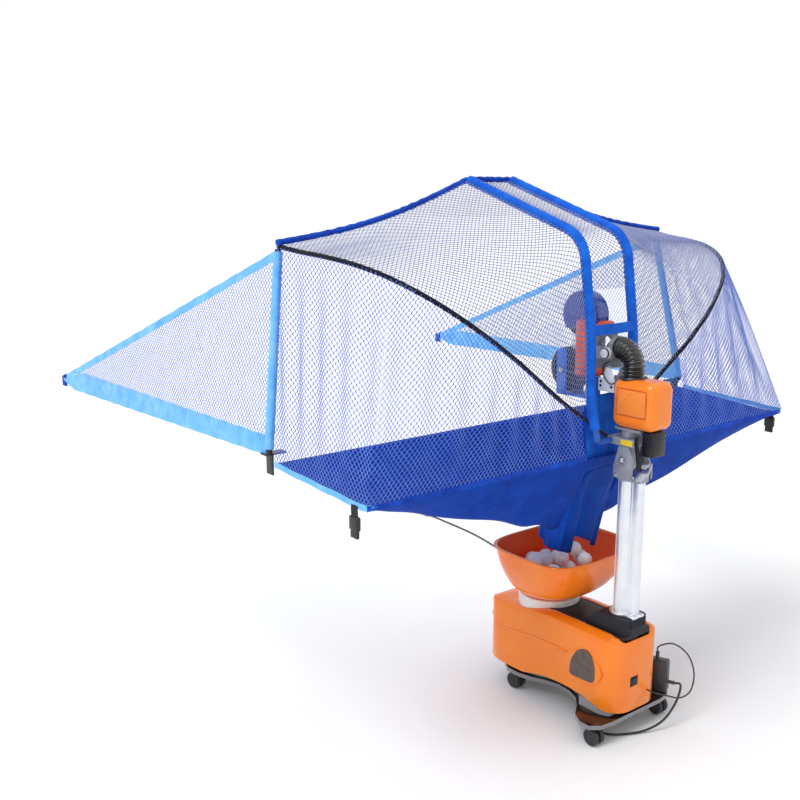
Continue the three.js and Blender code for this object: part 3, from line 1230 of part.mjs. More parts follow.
// Side wings along the table, each a triangle of mesh with a wide band below and a narrow one above
{
  const beforePole = poleRadius + fit * 2;
  const wingBeside = 2;
  const wingFootRise = 9;
  const wingTopBelow = 4;
  const foot = new THREE.Vector3(poleFoot.x + wingBeside, poleFoot.y - beforePole, tableHeight + wingFootRise);
  const top = new THREE.Vector3(poleTop.x + wingBeside, poleTop.y - beforePole, poleTop.z - wingTopBelow);
  const height = foot.distanceTo(top);
  const lowBand = 34;
  const highBand = 22;
  const meshEndShare = 0.86;
  const tipShare = 0.995;
  const tipShares = [0.6, 0.45]; // of the height at the tip that the low and the high band take
  const wingCells = 5;
  const wingRows = 2;
  const gapShare = 0.88;
  const apex = wingTip.clone().sub(foot).divideScalar(tipShare).add(foot);
  const place = (along, across) => foot.clone().lerp(top, across).lerp(apex, along);
  const rows = Array.from({ length: wingCells + 1 }, (_, i) => {
    const along = meshEndShare * i / wingCells;
    const local = height * (1 - along);
    const [low, high] = [(lowBand - lap) / local, 1 - (highBand - lap) / local];
    return Array.from({ length: wingRows + 1 }, (_, j) => place(along, low + (high - low) * j / wingRows));
  });
  const bandShare = (width, along, most) => Math.min(width / (height * (1 - along)), most);
  const alongs = [0, meshEndShare, tipShare];
  const lowEdge = alongs.map((along) => [place(along, 0), place(along, bandShare(lowBand, along, tipShares[0]))]);
  const highEdge = alongs.map((along) => (
    [place(along, 1 - bandShare(highBand, along, tipShares[1])), place(along, 1)]));
  addPair('side_wing', join(sheet(rows, netThickness, () => gapShare), sheet(lowEdge, bandThickness),
    sheet(highEdge, bandThickness)), paint.mesh);
}

// Cloth tray: falls from the table's edge to a keel and rises to the rear rim, with an opening in the middle
const openingHalf = 75;
const keelBehind = 75; // from the hopper's axis
const keelY = hopperY + keelBehind;
const openingShare = 0.85; // how near the opening's front and rear edges lie to the keel
const rimGap = 4; // from the rim's band to the cloth
const edgeBehind = 9;
const edgeBelow = 18;
const frontEdge = new THREE.Vector3(0, edgeBehind, tableHeight - edgeBelow);
const keelAt = (x) => {
  const slope = 0.325;
  const tipDrop = 12;
  const tipAhead = 38;
  const keelRear = trayTip.y - tipAhead;
  const out = Math.abs(x) / trayTip.x;
  const height = Math.max(keelHeight, trayTip.z - tipDrop - slope * (trayTip.x - Math.abs(x)));
  return new THREE.Vector3(x, THREE.MathUtils.lerp(keelY, keelRear, out), height);
};
const frontAt = (x, share) => frontEdge.clone().setX(x).lerp(keelAt(x), share);
const rearEdge = new THREE.Vector3(0, trayTip.y - rimGap, rimCentre.z - bandHalf - fit * 2);
const rearAt = (x, share) => keelAt(x).lerp(rearEdge.clone().setX(x), share);
{
  const edge = trayTip.x - rimGap - bandThickness;
  const columnShares = [0.235, 0.43, 0.65, 0.86, 1];
  const half = [openingHalf, ...columnShares.map((share) => share * edge)];
  const xs = [...half.slice().reverse().map((x) => -x), ...half];
  const halfwayShare = 0.45;
  const line = (x) => [frontAt(x, 0), frontAt(x, halfwayShare), frontAt(x, openingShare), keelAt(x),
    rearAt(x, halfwayShare), rearAt(x, openingShare), rearAt(x, 1)];
  const middle = half.length - 1;
  const left = (i, j) => (i === middle && j >= 2 && j <= 4 ? 1 : 0);
  add('catch_tray', sheet(xs.map(line), clothThickness, left), paint.cloth);
}

// Chute sleeve: hangs from the opening of the tray into the bowl, longer in front
{
  const steps = 18;
  const folds = 6;
  const foldDepth = 5;
  const taper = 14; // how much narrower each side is at the hem
  const square = 3.4;
  const inset = clothThickness / 2 + fit;
  const halfX = openingHalf - inset;
  const mouthFront = frontAt(0, openingShare);
  const mouthRear = rearAt(0, openingShare);
  const hemAhead = 10;
  const hemInBowl = 3;
  const hemFront = new THREE.Vector3(0, bowlRimY - hemAhead, bowlRimHeight - hemInBowl);
  const hemRear = new THREE.Vector3(0, bowlRimY + bowlHalfDepth + lap, keelHeight);
  const clothHeight = (x, y) => {
    const keel = keelAt(x);
    const edge = y < keel.y ? frontEdge : rearAt(x, 1);
    return THREE.MathUtils.mapLinear(y, keel.y, edge.y, keel.z, edge.z) + fit;
  };
  const ring = (down) => Array.from({ length: steps }, (_, k) => {
    const angle = k / steps * Math.PI * 2;
    const [u, v] = [Math.cos(angle), Math.sin(angle)].map((n) => Math.sign(n) * Math.abs(n) ** (2 / square));
    const front = mouthFront.clone().lerp(hemFront, down);
    const rear = mouthRear.clone().lerp(hemRear, down);
    const fold = foldDepth * down * (1 + Math.cos(angle * folds));
    const y = (front.y + rear.y) / 2 + v * ((rear.y - front.y) / 2 - inset - fold);
    const x = u * (halfX - fold - taper * down);
    const hem = front.z + (rear.z - front.z) * (v + 1) / 2;
    return new THREE.Vector3(x, y, THREE.MathUtils.lerp(clothHeight(x, y), hem, down));
  });
  const levelShares = [0, 0.3, 0.65, 1];
  add('chute_sleeve', sheet(levelShares.map(ring), clothThickness, () => 0, true), paint.cloth);
}

// Curtain of folded cloth between the arms, below the head, and the strap behind the arms
{
  const folds = 5;
  const stepsPerFold = 4;
  const foldDepth = 3;
  const flattening = 0.25;
  const belowRim = 14;
  const belowTilt = 106;
  const [low, high] = [rimCentre.z - belowRim, tiltHeight - belowTilt];
  const curtainY = armYAt(high) - armRadius - clothThickness / 2 - fit / 2;
  const line = (share) => [low, (low + high) / 2, high].map((z, k) => {
    const wave = foldDepth * Math.sin(share * folds * Math.PI * 2) * (1 - k * flattening);
    return new THREE.Vector3(THREE.MathUtils.lerp(-peak.x, peak.x, share), curtainY + wave, z);
  });
  const count = folds * stepsPerFold;
  add('curtain', sheet(Array.from({ length: count + 1 }, (_, k) => line(k / count)), clothThickness), paint.cloth);

  const strapRise = 57;
  const strapHeight = tiltHeight + strapRise;
  const strapHalf = 13;
  const strapY = armYAt(strapHeight - strapHalf) + armRadius + fit + bandThickness / 2;
  add('arm_strap', block([-peak.x, peak.x], [strapY - bandThickness / 2, strapY + bandThickness / 2],
    [strapHeight - strapHalf, strapHeight + strapHalf]), paint.band);
}

// Power: adapter on the tray, its low-voltage lead, the mains lead with its plug, and the head's motor lead
{
  const adapterSize = new THREE.Vector3(36, 62, 88);
  const adapterRound = 6;
  const adapterPlace = new THREE.Vector3(-129, 449, trayTop + fit);
  const adapterTurn = 24;
  const half = adapterSize.clone().divideScalar(2);
  const brick = softBlock([-half.x, half.x], [-half.y, half.y], [0, adapterSize.z], adapterRound, 1);
  const reliefLength = 20;
  const reliefRadius = 5;
  const mainsIn = new THREE.Vector3(10, half.y, 34);
  const topRelief = cylinder(reliefRadius, adapterSize.z - lap, adapterSize.z + reliefLength, 'z', 8);
  const sideRelief = at(cylinder(reliefRadius, half.y - lap, half.y + reliefLength, 'y', 8), mainsIn.x, 0, mainsIn.z);
  const adapter = add('adapter', join(brick, topRelief, sideRelief), paint.black);
  adapter.rotation.z = THREE.MathUtils.degToRad(adapterTurn);
  adapter.position.copy(adapterPlace);
  adapter.updateMatrix();
  const point = (x, y, z) => new THREE.Vector3(x, y, z);
  const onAdapter = (x, y, z) => point(x, y, z).applyMatrix4(adapter.matrix);
  const cord = (route, radius, steps, sides) => tube(new THREE.CatmullRomCurve3(route), radius, steps, sides);

  const thinRadius = 2;
  const straightOut = 12;
  const thinRoute = [
    onAdapter(0, 0, adapterSize.z + reliefLength + fit), onAdapter(0, 0, adapterSize.z + reliefLength + straightOut),
    point(-152, 476, 196), point(-192, 500, 160), point(-200, 516, 110), point(-168, 530, 78), point(-118, 534, 76),
    point(-72, 526, 94), point(inletPlace.x, housingRear + 22, inletPlace.y),
    point(inletPlace.x, housingRear + inletDepth + fit, inletPlace.y),
  ];
  add('dc_lead', cord(thinRoute, thinRadius, 21, 8), paint.black);

  const mainsRadius = 3;
  const floorHeight = mainsRadius + fit;
  const mainsRoute = [
    onAdapter(mainsIn.x, half.y + reliefLength + fit * 1.5, mainsIn.z),
    onAdapter(mainsIn.x, half.y + reliefLength + straightOut + lap * 2, mainsIn.z), point(-116, 526, 66), point(-66, 524, 26),
    point(-20, 508, 8), point(30, 484, floorHeight), point(70, 452, floorHeight), point(72, 405, floorHeight),
    point(40, 330, floorHeight), point(-60, 240, floorHeight), point(-200, 130, floorHeight),
    point(-420, -180, floorHeight), point(-590, -520, floorHeight), point(-668, -750, floorHeight),
    point(-700, -920, floorHeight), point(-712, -1122, floorHeight), point(-714, -1170, floorHeight),
  ];
  add('mains_lead', cord(mainsRoute, mainsRadius, 38, 8), paint.black);

  const plugSize = new THREE.Vector3(30, 46, 18);
  const plugRound = 5;
  const pinLength = 18;
  const plugPinRadius = 2;
  const pinSpacing = 18;
  const plugBody = softBlock([-plugSize.x / 2, plugSize.x / 2], [-plugSize.y, 0], [0, plugSize.z], plugRound, 1);
  const plugRelief = at(cylinder(reliefRadius, -lap, reliefLength, 'y', 8), 0, 0, reliefRadius);
  const pins = [-1, 1].map((side) => at(cylinder(plugPinRadius, -plugSize.y - pinLength, -plugSize.y + lap, 'y', 8),
    side * pinSpacing / 2, 0, plugSize.z / 2));
  const mainsEnd = mainsRoute.at(-1);
  add('mains_plug', join(plugBody, plugRelief, ...pins), paint.black).position.set(
    mainsEnd.x, mainsEnd.y - fit - reliefLength, 0);

  // From the side of the box's front up to the elbow, measured from the tilt axis
  const leadRadius = 1.6;
  const leadOffsets = [[36, 24, -72], [36, 12, -76], [36, -4, -66], [35.5, -14, -46], [31, -14, -32], [23, -6, -23.6]];
  const leadRoute = leadOffsets.map(([x, y, z]) => point(x, tiltY + y, tiltHeight + z));
  add('motor_lead', cord(leadRoute, leadRadius, 8, 8), paint.black);
}

// Origin: on the floor, below the middle of everything but the leads
for (const mesh of model.children) mesh.position.y -= (wingTip.y + boxRear) / 2;

export default model;
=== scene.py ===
# Table tennis robot with a catch net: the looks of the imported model, built round its fixed frame.
# Metres, +Z up, balls thrown towards -Y. Sizes are written in millimetres from the end edge of the table.

import json
from contextlib import contextmanager
from math import asin, copysign, cos, exp, pi, radians, sin, sqrt

import bmesh
import bpy
import numpy as np
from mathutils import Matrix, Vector

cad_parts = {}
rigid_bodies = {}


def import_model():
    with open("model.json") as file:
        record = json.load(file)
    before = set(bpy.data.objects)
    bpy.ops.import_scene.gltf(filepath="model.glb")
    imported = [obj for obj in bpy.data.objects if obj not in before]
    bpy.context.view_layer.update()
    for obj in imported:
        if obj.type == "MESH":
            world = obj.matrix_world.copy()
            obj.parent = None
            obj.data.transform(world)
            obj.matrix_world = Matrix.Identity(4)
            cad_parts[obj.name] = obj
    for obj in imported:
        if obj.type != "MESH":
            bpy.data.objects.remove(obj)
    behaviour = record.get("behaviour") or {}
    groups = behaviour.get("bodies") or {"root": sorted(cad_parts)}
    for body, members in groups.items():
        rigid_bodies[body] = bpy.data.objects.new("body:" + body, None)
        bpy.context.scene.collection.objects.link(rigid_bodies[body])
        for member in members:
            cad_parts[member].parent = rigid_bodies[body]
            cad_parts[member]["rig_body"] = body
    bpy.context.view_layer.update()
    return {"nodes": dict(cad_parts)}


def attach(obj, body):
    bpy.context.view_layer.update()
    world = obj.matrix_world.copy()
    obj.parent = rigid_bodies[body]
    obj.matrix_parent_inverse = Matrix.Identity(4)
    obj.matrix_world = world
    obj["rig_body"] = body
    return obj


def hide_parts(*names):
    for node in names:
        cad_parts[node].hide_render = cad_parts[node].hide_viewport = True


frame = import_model()
scene = bpy.context.scene
scene.view_settings.view_transform = "Standard"


# ---- Camera and room ----
# A photographer's corner: white sweep, one big soft lamp high on the camera's left, and a pale room that
# is brighter overhead than at the skirting, so that gloss and metal show a gradient.

def linear(code):
    """An sRGB hex colour as the linear values that a shader takes."""
    parts = [int(code[i:i + 2], 16) / 255 for i in (1, 3, 5)]
    return [c / 12.92 if c <= 0.04045 else ((c + 0.055) / 1.055) ** 2.4 for c in parts] + [1.0]


def add(tree, kind, settings=None, *sources, **links):
    """Adds a node: settings are its properties and socket values. The sources feed its first inputs in
    order, and the links feed inputs by name. A node as a source stands for its first output."""
    node = tree.nodes.new("ShaderNode" + kind)
    for key, value in (settings or {}).items():
        if key == "stops":
            ramp = node.color_ramp
            while len(ramp.elements) < len(value):
                ramp.elements.new(0.5)
            for element, (place, colour) in zip(ramp.elements, value):
                element.position, element.color = place, linear(colour)
        elif key in node.inputs:
            node.inputs[key].default_value = value
        else:
            setattr(node, key, value)
    for key, source in [*enumerate(sources), *((key.replace("_", " "), links[key]) for key in links)]:
        tree.links.new(getattr(source, "outputs", [source])[0], node.inputs[key])
    return node


def surface(name):
    """A new material, its node tree and its shader."""
    material = bpy.data.materials.new(name)
    material.use_nodes = True
    return material, material.node_tree, material.node_tree.nodes["Principled BSDF"]


def placed(name, data):
    """An object of the scene that shows the data."""
    thing = bpy.data.objects.new(name, data)
    scene.collection.objects.link(thing)
    return thing


table_end = 372.0  # where the table's end edge lies in the shared frame (mm)
sides = ((1, "right"), (-1, "left"))


def at(x, y, z):
    """A place measured from the table's end edge, in millimetres, as a point of the shared frame."""
    return Vector((x, y + table_end, z)) / 1000


camera = placed("camera", bpy.data.cameras.new("camera"))
azimuth, elevation = radians(141.80), radians(11.72)
back = Vector((sin(azimuth) * cos(elevation), -cos(azimuth) * cos(elevation),
               sin(elevation)))
camera.location = (1.9346, 2.3381, 1.3631)
camera.rotation_euler = (-back).to_track_quat("-Z", "Y").to_euler()
camera.data.lens = 45.13
camera.data.sensor_width = 36.0
scene.camera = camera

lamp_data = bpy.data.lights.new("soft_lamp", "SUN")
lamp_data.energy = 1.7
lamp_data.angle = radians(35)
lamp = placed("soft_lamp", lamp_data)
light_runs = Vector((-0.58, 0.05, -0.85))
lamp.rotation_euler = light_runs.to_track_quat("-Z", "Y").to_euler()

room = bpy.data.worlds.new("room")
scene.world = room
room.use_nodes = True
sky = room.node_tree
sky.nodes.clear()
direction = add(sky, "TexCoord")
height = add(sky, "SeparateXYZ", Vector=direction.outputs["Generated"])
raised = add(sky, "MapRange", {"From Min": -0.1, "From Max": 0.9}, Value=height.outputs["Z"])
glow = add(sky, "ValToRGB", {"stops": [(0.0, "#CDD0D3"), (0.45, "#E4E6E8"), (1.0, "#FFFFFF")]},
           Fac=raised)
soft = add(sky, "Background", {"Strength": 0.82}, Color=glow)
white = add(sky, "Background", {"Color": (1, 1, 1, 1), "Strength": 1.0})
ray = add(sky, "LightPath").outputs
straight_on = add(sky, "Math", {"operation": "MAXIMUM"}, ray["Is Camera Ray"], ray["Is Glossy Ray"])
backdrop_seen = add(sky, "Math", {"operation": "MAXIMUM"}, straight_on, ray["Is Transmission Ray"])
either = add(sky, "MixShader", None, backdrop_seen, soft, white)
add(sky, "OutputWorld", Surface=either)


def rounded_over(piece, angle):
    """Shades the piece smooth where its faces meet at less than the angle, if one is given."""
    if angle is not None:
        piece.data.shade_smooth()
        piece.data.set_sharp_from_angle(angle=radians(angle))
    return piece


def mesh_piece(name, points, faces, smooth=None):
    """A mesh object from points in metres."""
    mesh = bpy.data.meshes.new(name)
    mesh.from_pydata([tuple(p) for p in points], [], faces)
    mesh.update()
    return rounded_over(placed(name, mesh), smooth)


floor_half = 40.0
floor = mesh_piece("floor", [(x * floor_half, y * floor_half, -0.0005) for x, y in
                             ((-1, -1), (1, -1), (1, 1), (-1, 1))], [(0, 1, 2, 3)])
floor_paint, sweep, shader = surface("white_paper_sweep")
paper = add(sweep, "TexNoise", {"Scale": 1.5, "Detail": 4.0},
            Vector=add(sweep, "TexCoord").outputs["Object"])
tint = add(sweep, "ValToRGB", {"stops": [(0.3, "#F6F6F6"), (0.7, "#F9F9F9")]}, Fac=paper)
sweep.links.new(tint.outputs["Color"], shader.inputs["Base Color"])
shader.inputs["Roughness"].default_value = 0.9
shader.inputs["Specular IOR Level"].default_value = 0.1
floor.data.materials.append(floor_paint)


# ---- Leads ----
# PVC-sheathed flexes, extruded and satin: a 4 mm low-voltage lead from the adapter to the housing, a 6 mm
# mains lead over the floor to its overmoulded two-pin plug, and a thin lead up to the head's motors. The
# adapter is a two-part charcoal moulding that stands on the tray.

def finish(name, slot, light, dark, patch, roughness, grain, depth, coat=(), IOR=1.54, **sockets):
    """A moulded, cast or extruded surface: two shades in soft patches and a fine raised grain (mm)."""
    material, tree, shader = surface(name)
    place = add(tree, "TexCoord").outputs["Object"]
    cloud = add(tree, "TexNoise", {"Scale": 1000 / patch, "Detail": 5.0, "Roughness": 0.6}, Vector=place)
    shade = add(tree, "ValToRGB", {"stops": [(0.35, dark), (0.68, light)]}, Fac=cloud)
    fine = add(tree, "TexNoise", {"Scale": 1000 / grain, "Detail": 3.0}, Vector=place)
    relief = add(tree, "Bump", {"Strength": 1.0, "Distance": depth / 1000}, Height=fine)
    wear = add(tree, "MapRange", {"From Min": 0.3, "From Max": 0.75, "To Min": roughness - 0.05,
                                  "To Max": roughness + 0.08}, Value=cloud)
    tree.links.new(shade.outputs["Color"], shader.inputs["Base Color"])
    tree.links.new(relief.outputs["Normal"], shader.inputs["Normal"])
    tree.links.new(wear.outputs[0], shader.inputs["Roughness"])
    sockets |= dict(zip(("Coat_Weight", "Coat_Roughness"), coat), IOR=IOR)
    for key, value in sockets.items():
        shader.inputs[key.replace("_", " ")].default_value = value
    return material


def dress(piece, material, *replaced, body="stand", slot=None):
    """Gives a piece its material, its body and the CAD nodes that it stands for. The slot is not used."""
    piece.data.materials.append(material)
    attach(piece, body)
    if replaced:
        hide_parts(*replaced)
    return piece


@contextmanager
def reshaping(piece):
    """The piece's mesh in a form that can be worked on, written back at the end."""
    form = bmesh.new()
    form.from_mesh(piece.data)
    yield form
    form.to_mesh(piece.data)
    form.free()


def weld(form):
    """Joins the points that lie in one place."""
    bmesh.ops.remove_doubles(form, verts=form.verts, dist=1e-6)


def refined(node, bevel, material, angle=32):
    """The node's own solid, its flat faces made whole and every sharp edge eased by the bevel (mm)."""
    source = frame["nodes"][node]
    piece = placed("eased_" + node, source.data.copy())
    with reshaping(piece) as form:
        weld(form)
        bmesh.ops.dissolve_limit(form, angle_limit=radians(1), verts=form.verts, edges=form.edges)
        sharp = [e for e in form.edges
                 if len(e.link_faces) == 2 and e.calc_face_angle() > radians(angle)]
        bmesh.ops.bevel(form, geom=sharp, offset=bevel / 1000, segments=2, profile=0.5, affect="EDGES",
                        clamp_overlap=True)
    if "custom_normal" in piece.data.attributes:
        piece.data.attributes.remove(piece.data.attributes["custom_normal"])
    piece.data.materials.clear()
    return dress(rounded_over(piece, 38), material, node, body=source["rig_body"])


pvc = finish("extruded_pvc_black", "black_plastic", "#232327", "#17171A", 60, 0.42, 1.2, 0.03, IOR=1.53)


def smooth_line(route, steps):
    """Points along the centripetal curve through the route's points, steps to each stretch."""
    knots = [np.array(p, float) for p in route]
    knots = [2 * knots[0] - knots[1]] + knots + [2 * knots[-1] - knots[-2]]
    line = []
    for p0, p1, p2, p3 in zip(knots, knots[1:], knots[2:], knots[3:]):
        t0, t1, t2 = (np.linalg.norm(b - a) ** 0.5 for a, b in ((p0, p1), (p1, p2), (p2, p3)))
        first = ((p1 - p0) / t0 - (p2 - p0) / (t0 + t1) + (p2 - p1) / t1) * t1
        last = ((p2 - p1) / t1 - (p3 - p1) / (t1 + t2) + (p3 - p2) / t2) * t1
        for t in np.arange(steps) / steps:
            line.append(p1 + first * t + (3 * (p2 - p1) - 2 * first - last) * t ** 2
                        + (2 * (p1 - p2) + first + last) * t ** 3)
    return [Vector(p) for p in line + [knots[-2]]]


def flex(name, route, diameter):
    """A round flex as a curve of one open spline along the smooth line through the route (mm)."""
    line = smooth_line([at(*p) for p in route], 6)
    curve = bpy.data.curves.new(name, "CURVE")
    curve.dimensions = "3D"
    curve.bevel_depth = diameter / 2000
    curve.bevel_resolution = 4
    curve.use_fill_caps = True
    spline = curve.splines.new("POLY")
    spline.points.add(len(line) - 1)
    for point, place in zip(spline.points, line):
        point.co = (*place, 1)
    curve.materials.append(pvc)
    return placed(name, curve)


adapter_place, adapter_turn = (-129, 449, 62.4), radians(24)


def on_adapter(x, y, z):
    """A place on the adapter, which stands turned on the tray (mm)."""
    c, s = cos(adapter_turn), sin(adapter_turn)
    return (adapter_place[0] + x * c - y * s, adapter_place[1] + x * s + y * c, adapter_place[2] + z)


dc_lead = flex("low_voltage_lead", [
    on_adapter(0, 0, 108.4), on_adapter(0, 0, 120), (-152, 476, 196), (-192, 500, 160), (-200, 516, 110),
    (-168, 530, 78), (-118, 534, 76), (-72, 526, 94), (-30, 513, 112), (-30, 495.4, 112)], 4)
mains_lead = flex("mains_flex", [
    on_adapter(10, 51.6, 34), on_adapter(10, 65, 34), (-116, 526, 66), (-66, 524, 26), (-20, 508, 8),
    (30, 484, 3.4), (70, 452, 3.4), (72, 405, 3.4), (40, 330, 3.4), (-60, 240, 3.4), (-200, 130, 3.4),
    (-420, -180, 3.4), (-590, -520, 3.4), (-668, -750, 3.4), (-700, -920, 3.4), (-712, -1122, 3.4),
    (-714, -1170, 3.4)], 6)
motor_lead = flex("motor_flex", [
    (36, 400, 906), (36, 388, 902), (36, 372, 912), (35.5, 362, 932), (31, 362, 946), (23, 370, 954.4)], 3.2)
adapter_shell = finish("moulded_polycarbonate_charcoal", "black_plastic", "#3A3A40", "#2B2B30", 9, 0.4, 1.0,
                       0.06, IOR=1.58)
refined("adapter", 1.0, adapter_shell)
refined("mains_plug", 0.8, pvc)
for lead, solid in ((dc_lead, "dc_lead"), (mains_lead, "mains_lead"), (motor_lead, "motor_lead")):
    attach(lead, "stand")
    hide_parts(solid)


# ---- Casters ----
# Four swivel casters: a moulded nylon fork that hooks over twin wheels on one steel axle. The wheels are
# nylon with a round-shouldered tread, a sunk face and a raised hub, dulled by the floor.

def closed_up(piece, smooth, welded=True):
    """Fills a piece's open ends, turns its faces outwards and rounds it over."""
    with reshaping(piece) as form:
        if welded:
            weld(form)
        bmesh.ops.holes_fill(form, edges=form.edges, sides=0)
        bmesh.ops.recalc_face_normals(form, faces=form.faces)
    return rounded_over(piece, smooth)


def grid(rows, count, closed=True, looped=False):
    """The faces of rows of points: closed joins each row's ends, looped the last row to the first."""
    return [(i * count + j, i * count + (j + 1) % count, (i + 1) % rows * count + (j + 1) % count,
             (i + 1) % rows * count + j)
            for i in range(rows if looped else rows - 1) for j in range(count if closed else count - 1)]


def lathe(name, profile, steps, place, axis="x", smooth=40):
    """A turned piece: profile pairs of distance along the axis and radius (mm), round a place (mm)."""
    turns = {"x": lambda a, r, t: (a, r * cos(t), r * sin(t)),
             "y": lambda a, r, t: (r * sin(t), a, r * cos(t)),
             "z": lambda a, r, t: (r * cos(t), r * sin(t), a)}
    points = [at(*np.add(place, turns[axis](a, r, 2 * pi * k / steps)))
              for k in range(steps) for a, r in profile]
    return closed_up(mesh_piece(name, points, grid(steps, len(profile), closed=False, looped=True)), smooth)


def both_ways(half):
    """A profile and its mirror image across the middle."""
    return [(-a, r) for a, r in reversed(half)] + half


nylon = finish("moulded_nylon_black", "black_plastic", "#1D1D22", "#111114", 12, 0.34, 0.8, 0.05, IOR=1.53,
               Specular_IOR_Level=0.35)
scuffed = finish("scuffed_nylon_tread", "caster_tread", "#3A3A3E", "#1D1D20", 5, 0.6, 1.5, 0.15, IOR=1.53)
steel = finish("zinc_plated_steel", "plated_steel", "#C9CBCF", "#A9ACB1", 9, 0.28, 0.5, 0.02, IOR=1.5,
               Metallic=1.0)
wheel_radius, wheel_inner, wheel_outer = 22, 3.8, 16.8
half_tread = [(wheel_inner, 3), (wheel_inner, 20), (wheel_inner + 1.2, 21.4),
              (wheel_inner + 3.2, wheel_radius), (wheel_outer - 3.2, wheel_radius), (wheel_outer - 1, 21.2),
              (wheel_outer, 19.4), (wheel_outer - 0.2, 16.5), (wheel_outer - 2, 15.2), (wheel_outer - 2, 8.5),
              (wheel_outer - 0.4, 7.2), (wheel_outer, 4.5), (wheel_outer, 0)]
plate_profile = [(49.3, 0), (49.3, 15), (49.9, 15.5), (49.9, 0)]
for place, x, y in (("front_right", 66, 109), ("front_left", -66, 109), ("rear_right", 127, 446),
                    ("rear_left", -127, 446)):
    refined("caster_fork_" + place, 1.0, nylon)
    wheels = lathe("twin_wheels_" + place, both_ways(half_tread), 40, (x, y + 13, wheel_radius))
    dress(wheels, scuffed, "caster_wheels_" + place, body="wheels_" + place)
    dress(lathe("caster_plate_" + place, plate_profile, 32, (x, y, 0), "z"), steel)


# ---- Tray ----
# The foot of the machine: a 12 mm moulded board, narrow at its waist and broad over the rear casters.
# High-gloss black ABS with a plain grey band round its edge; a warm reflection on its upper face is painted
# into its colour.

# Painted reflection: the reddish-brown of these shades stands in for a warm reflection on the black gloss.
lacquer = finish("gloss_abs_black_painted_warm_reflection", "gloss_black", "#3A211C", "#241413", 70, 0.12, 2.5, 0.02,
                 coat=(0.6, 0.05))
edge_tree = lacquer.node_tree
normal = add(edge_tree, "SeparateXYZ", Vector=add(edge_tree, "TexCoord").outputs["Normal"])
steep = add(edge_tree, "Math", {"operation": "ABSOLUTE"}, Value=normal.outputs["Z"])
# Steep faces take the plain grey rim; flat faces take a red-black that carries the painted warm reflection.
edge_band_and_painted_reflection = add(edge_tree, "ValToRGB", {"stops": [(0.3, "#8E8F93"), (0.62, "#1D1415")]}, Fac=steep)
base = edge_tree.nodes["Principled BSDF"].inputs["Base Color"]
edge_mix = add(edge_tree, "MixRGB", {"Fac": 0.75}, Color1=base.links[0].from_socket,
               Color2=edge_band_and_painted_reflection)
edge_tree.links.new(edge_mix.outputs[0], base)
refined("base_tray", 1.6, lacquer, angle=40)


# ---- Housing ----
# The drive housing: one injection-moulded ABS shell with full shoulders, high-gloss orange. A raised
# stroke sweeps from the front along each side into an oval plate with an arch-shaped smoked window.

orange_abs = finish("gloss_abs_orange", "orange_shell", "#FF8F22", "#FD8018", 150, 0.16, 1.6, 0.012,
                    Specular_IOR_Level=0.35, coat=(0.2, 0.06))
refined("base_housing", 1.2, orange_abs, angle=30)


def rounded_path(corners, radius, steps=10):
    """Straight runs through the corners (mm), each inner corner rounded by a short curve."""
    corners = [np.array(c, float) for c in corners]
    path = [corners[0]]
    for before, corner, after in zip(corners, corners[1:], corners[2:]):
        reach = min(radius, np.linalg.norm(before - corner) / 2, np.linalg.norm(after - corner) / 2)
        entry = corner + (before - corner) / np.linalg.norm(before - corner) * reach
        leave = corner + (after - corner) / np.linalg.norm(after - corner) * reach
        path += [entry * (1 - t) ** 2 + 2 * corner * t * (1 - t) + leave * t ** 2
                 for t in np.linspace(0, 1, steps)]
    return np.array(path + [corners[-1]])


smoked_pane = finish("polished_acrylic_smoked", "black_plastic", "#5A4030", "#2A1C14", 22, 0.07, 0.8, 0.0,
                     IOR=1.49, coat=(1.0, 0.04))
charcoal = finish("moulded_abs_charcoal", "black_plastic", "#33302F", "#211F20", 8, 0.3, 0.8, 0.03)
shell_half, front_round = 96.9, 62
for sign, side in sides:
    stroke = [(y, 176 + 30 * sin((y - 60) / 330 * pi * 0.62) - (y - 60) * 0.035)
              for y in np.linspace(62, 332, 28)]
    lower = [(y, z - 6 - 5 * sin((y - 62) / 270 * pi)) for y, z in stroke]
    points = []
    for (y, z), (_, z_low) in zip(stroke, lower):
        inset = front_round - sqrt(max(front_round ** 2 - max(80 - y, 0) ** 2, 0))
        for rise, level in ((0.0, z_low), (2.8, z_low + 2.4), (2.8, z - 1.6), (0.0, z)):
            points.append(at(sign * (shell_half - inset + rise), y, level))
    dress(mesh_piece("raised_stroke_" + side, points, grid(len(stroke), 4, closed=False), 60), orange_abs)
    arch = rounded_path([(0, 390, 141), (0, 429, 144), (0, 428, 196), (0, 404, 224), (0, 372, 216),
                         (0, 350, 178), (0, 346, 139), (0, 390, 141)], 15, 7)
    middle, points = arch.mean(axis=0), []
    for grow, stand in ((1.04, 99.2), (1.04, 101.2), (1.0, 101.9), (0.95, 101.2), (0.9, 100.9)):
        points += [at(sign * stand, *(middle + (p - middle) * grow)[1:]) for p in arch[:-1]]
    count = len(arch) - 1
    faces = grid(5, count) + [tuple(4 * count + j for j in range(count))]
    pane = mesh_piece("window_" + side, points, faces, 40)
    with reshaping(pane) as form:
        bmesh.ops.recalc_face_normals(form, faces=form.faces)
    dress(pane, smoked_pane)


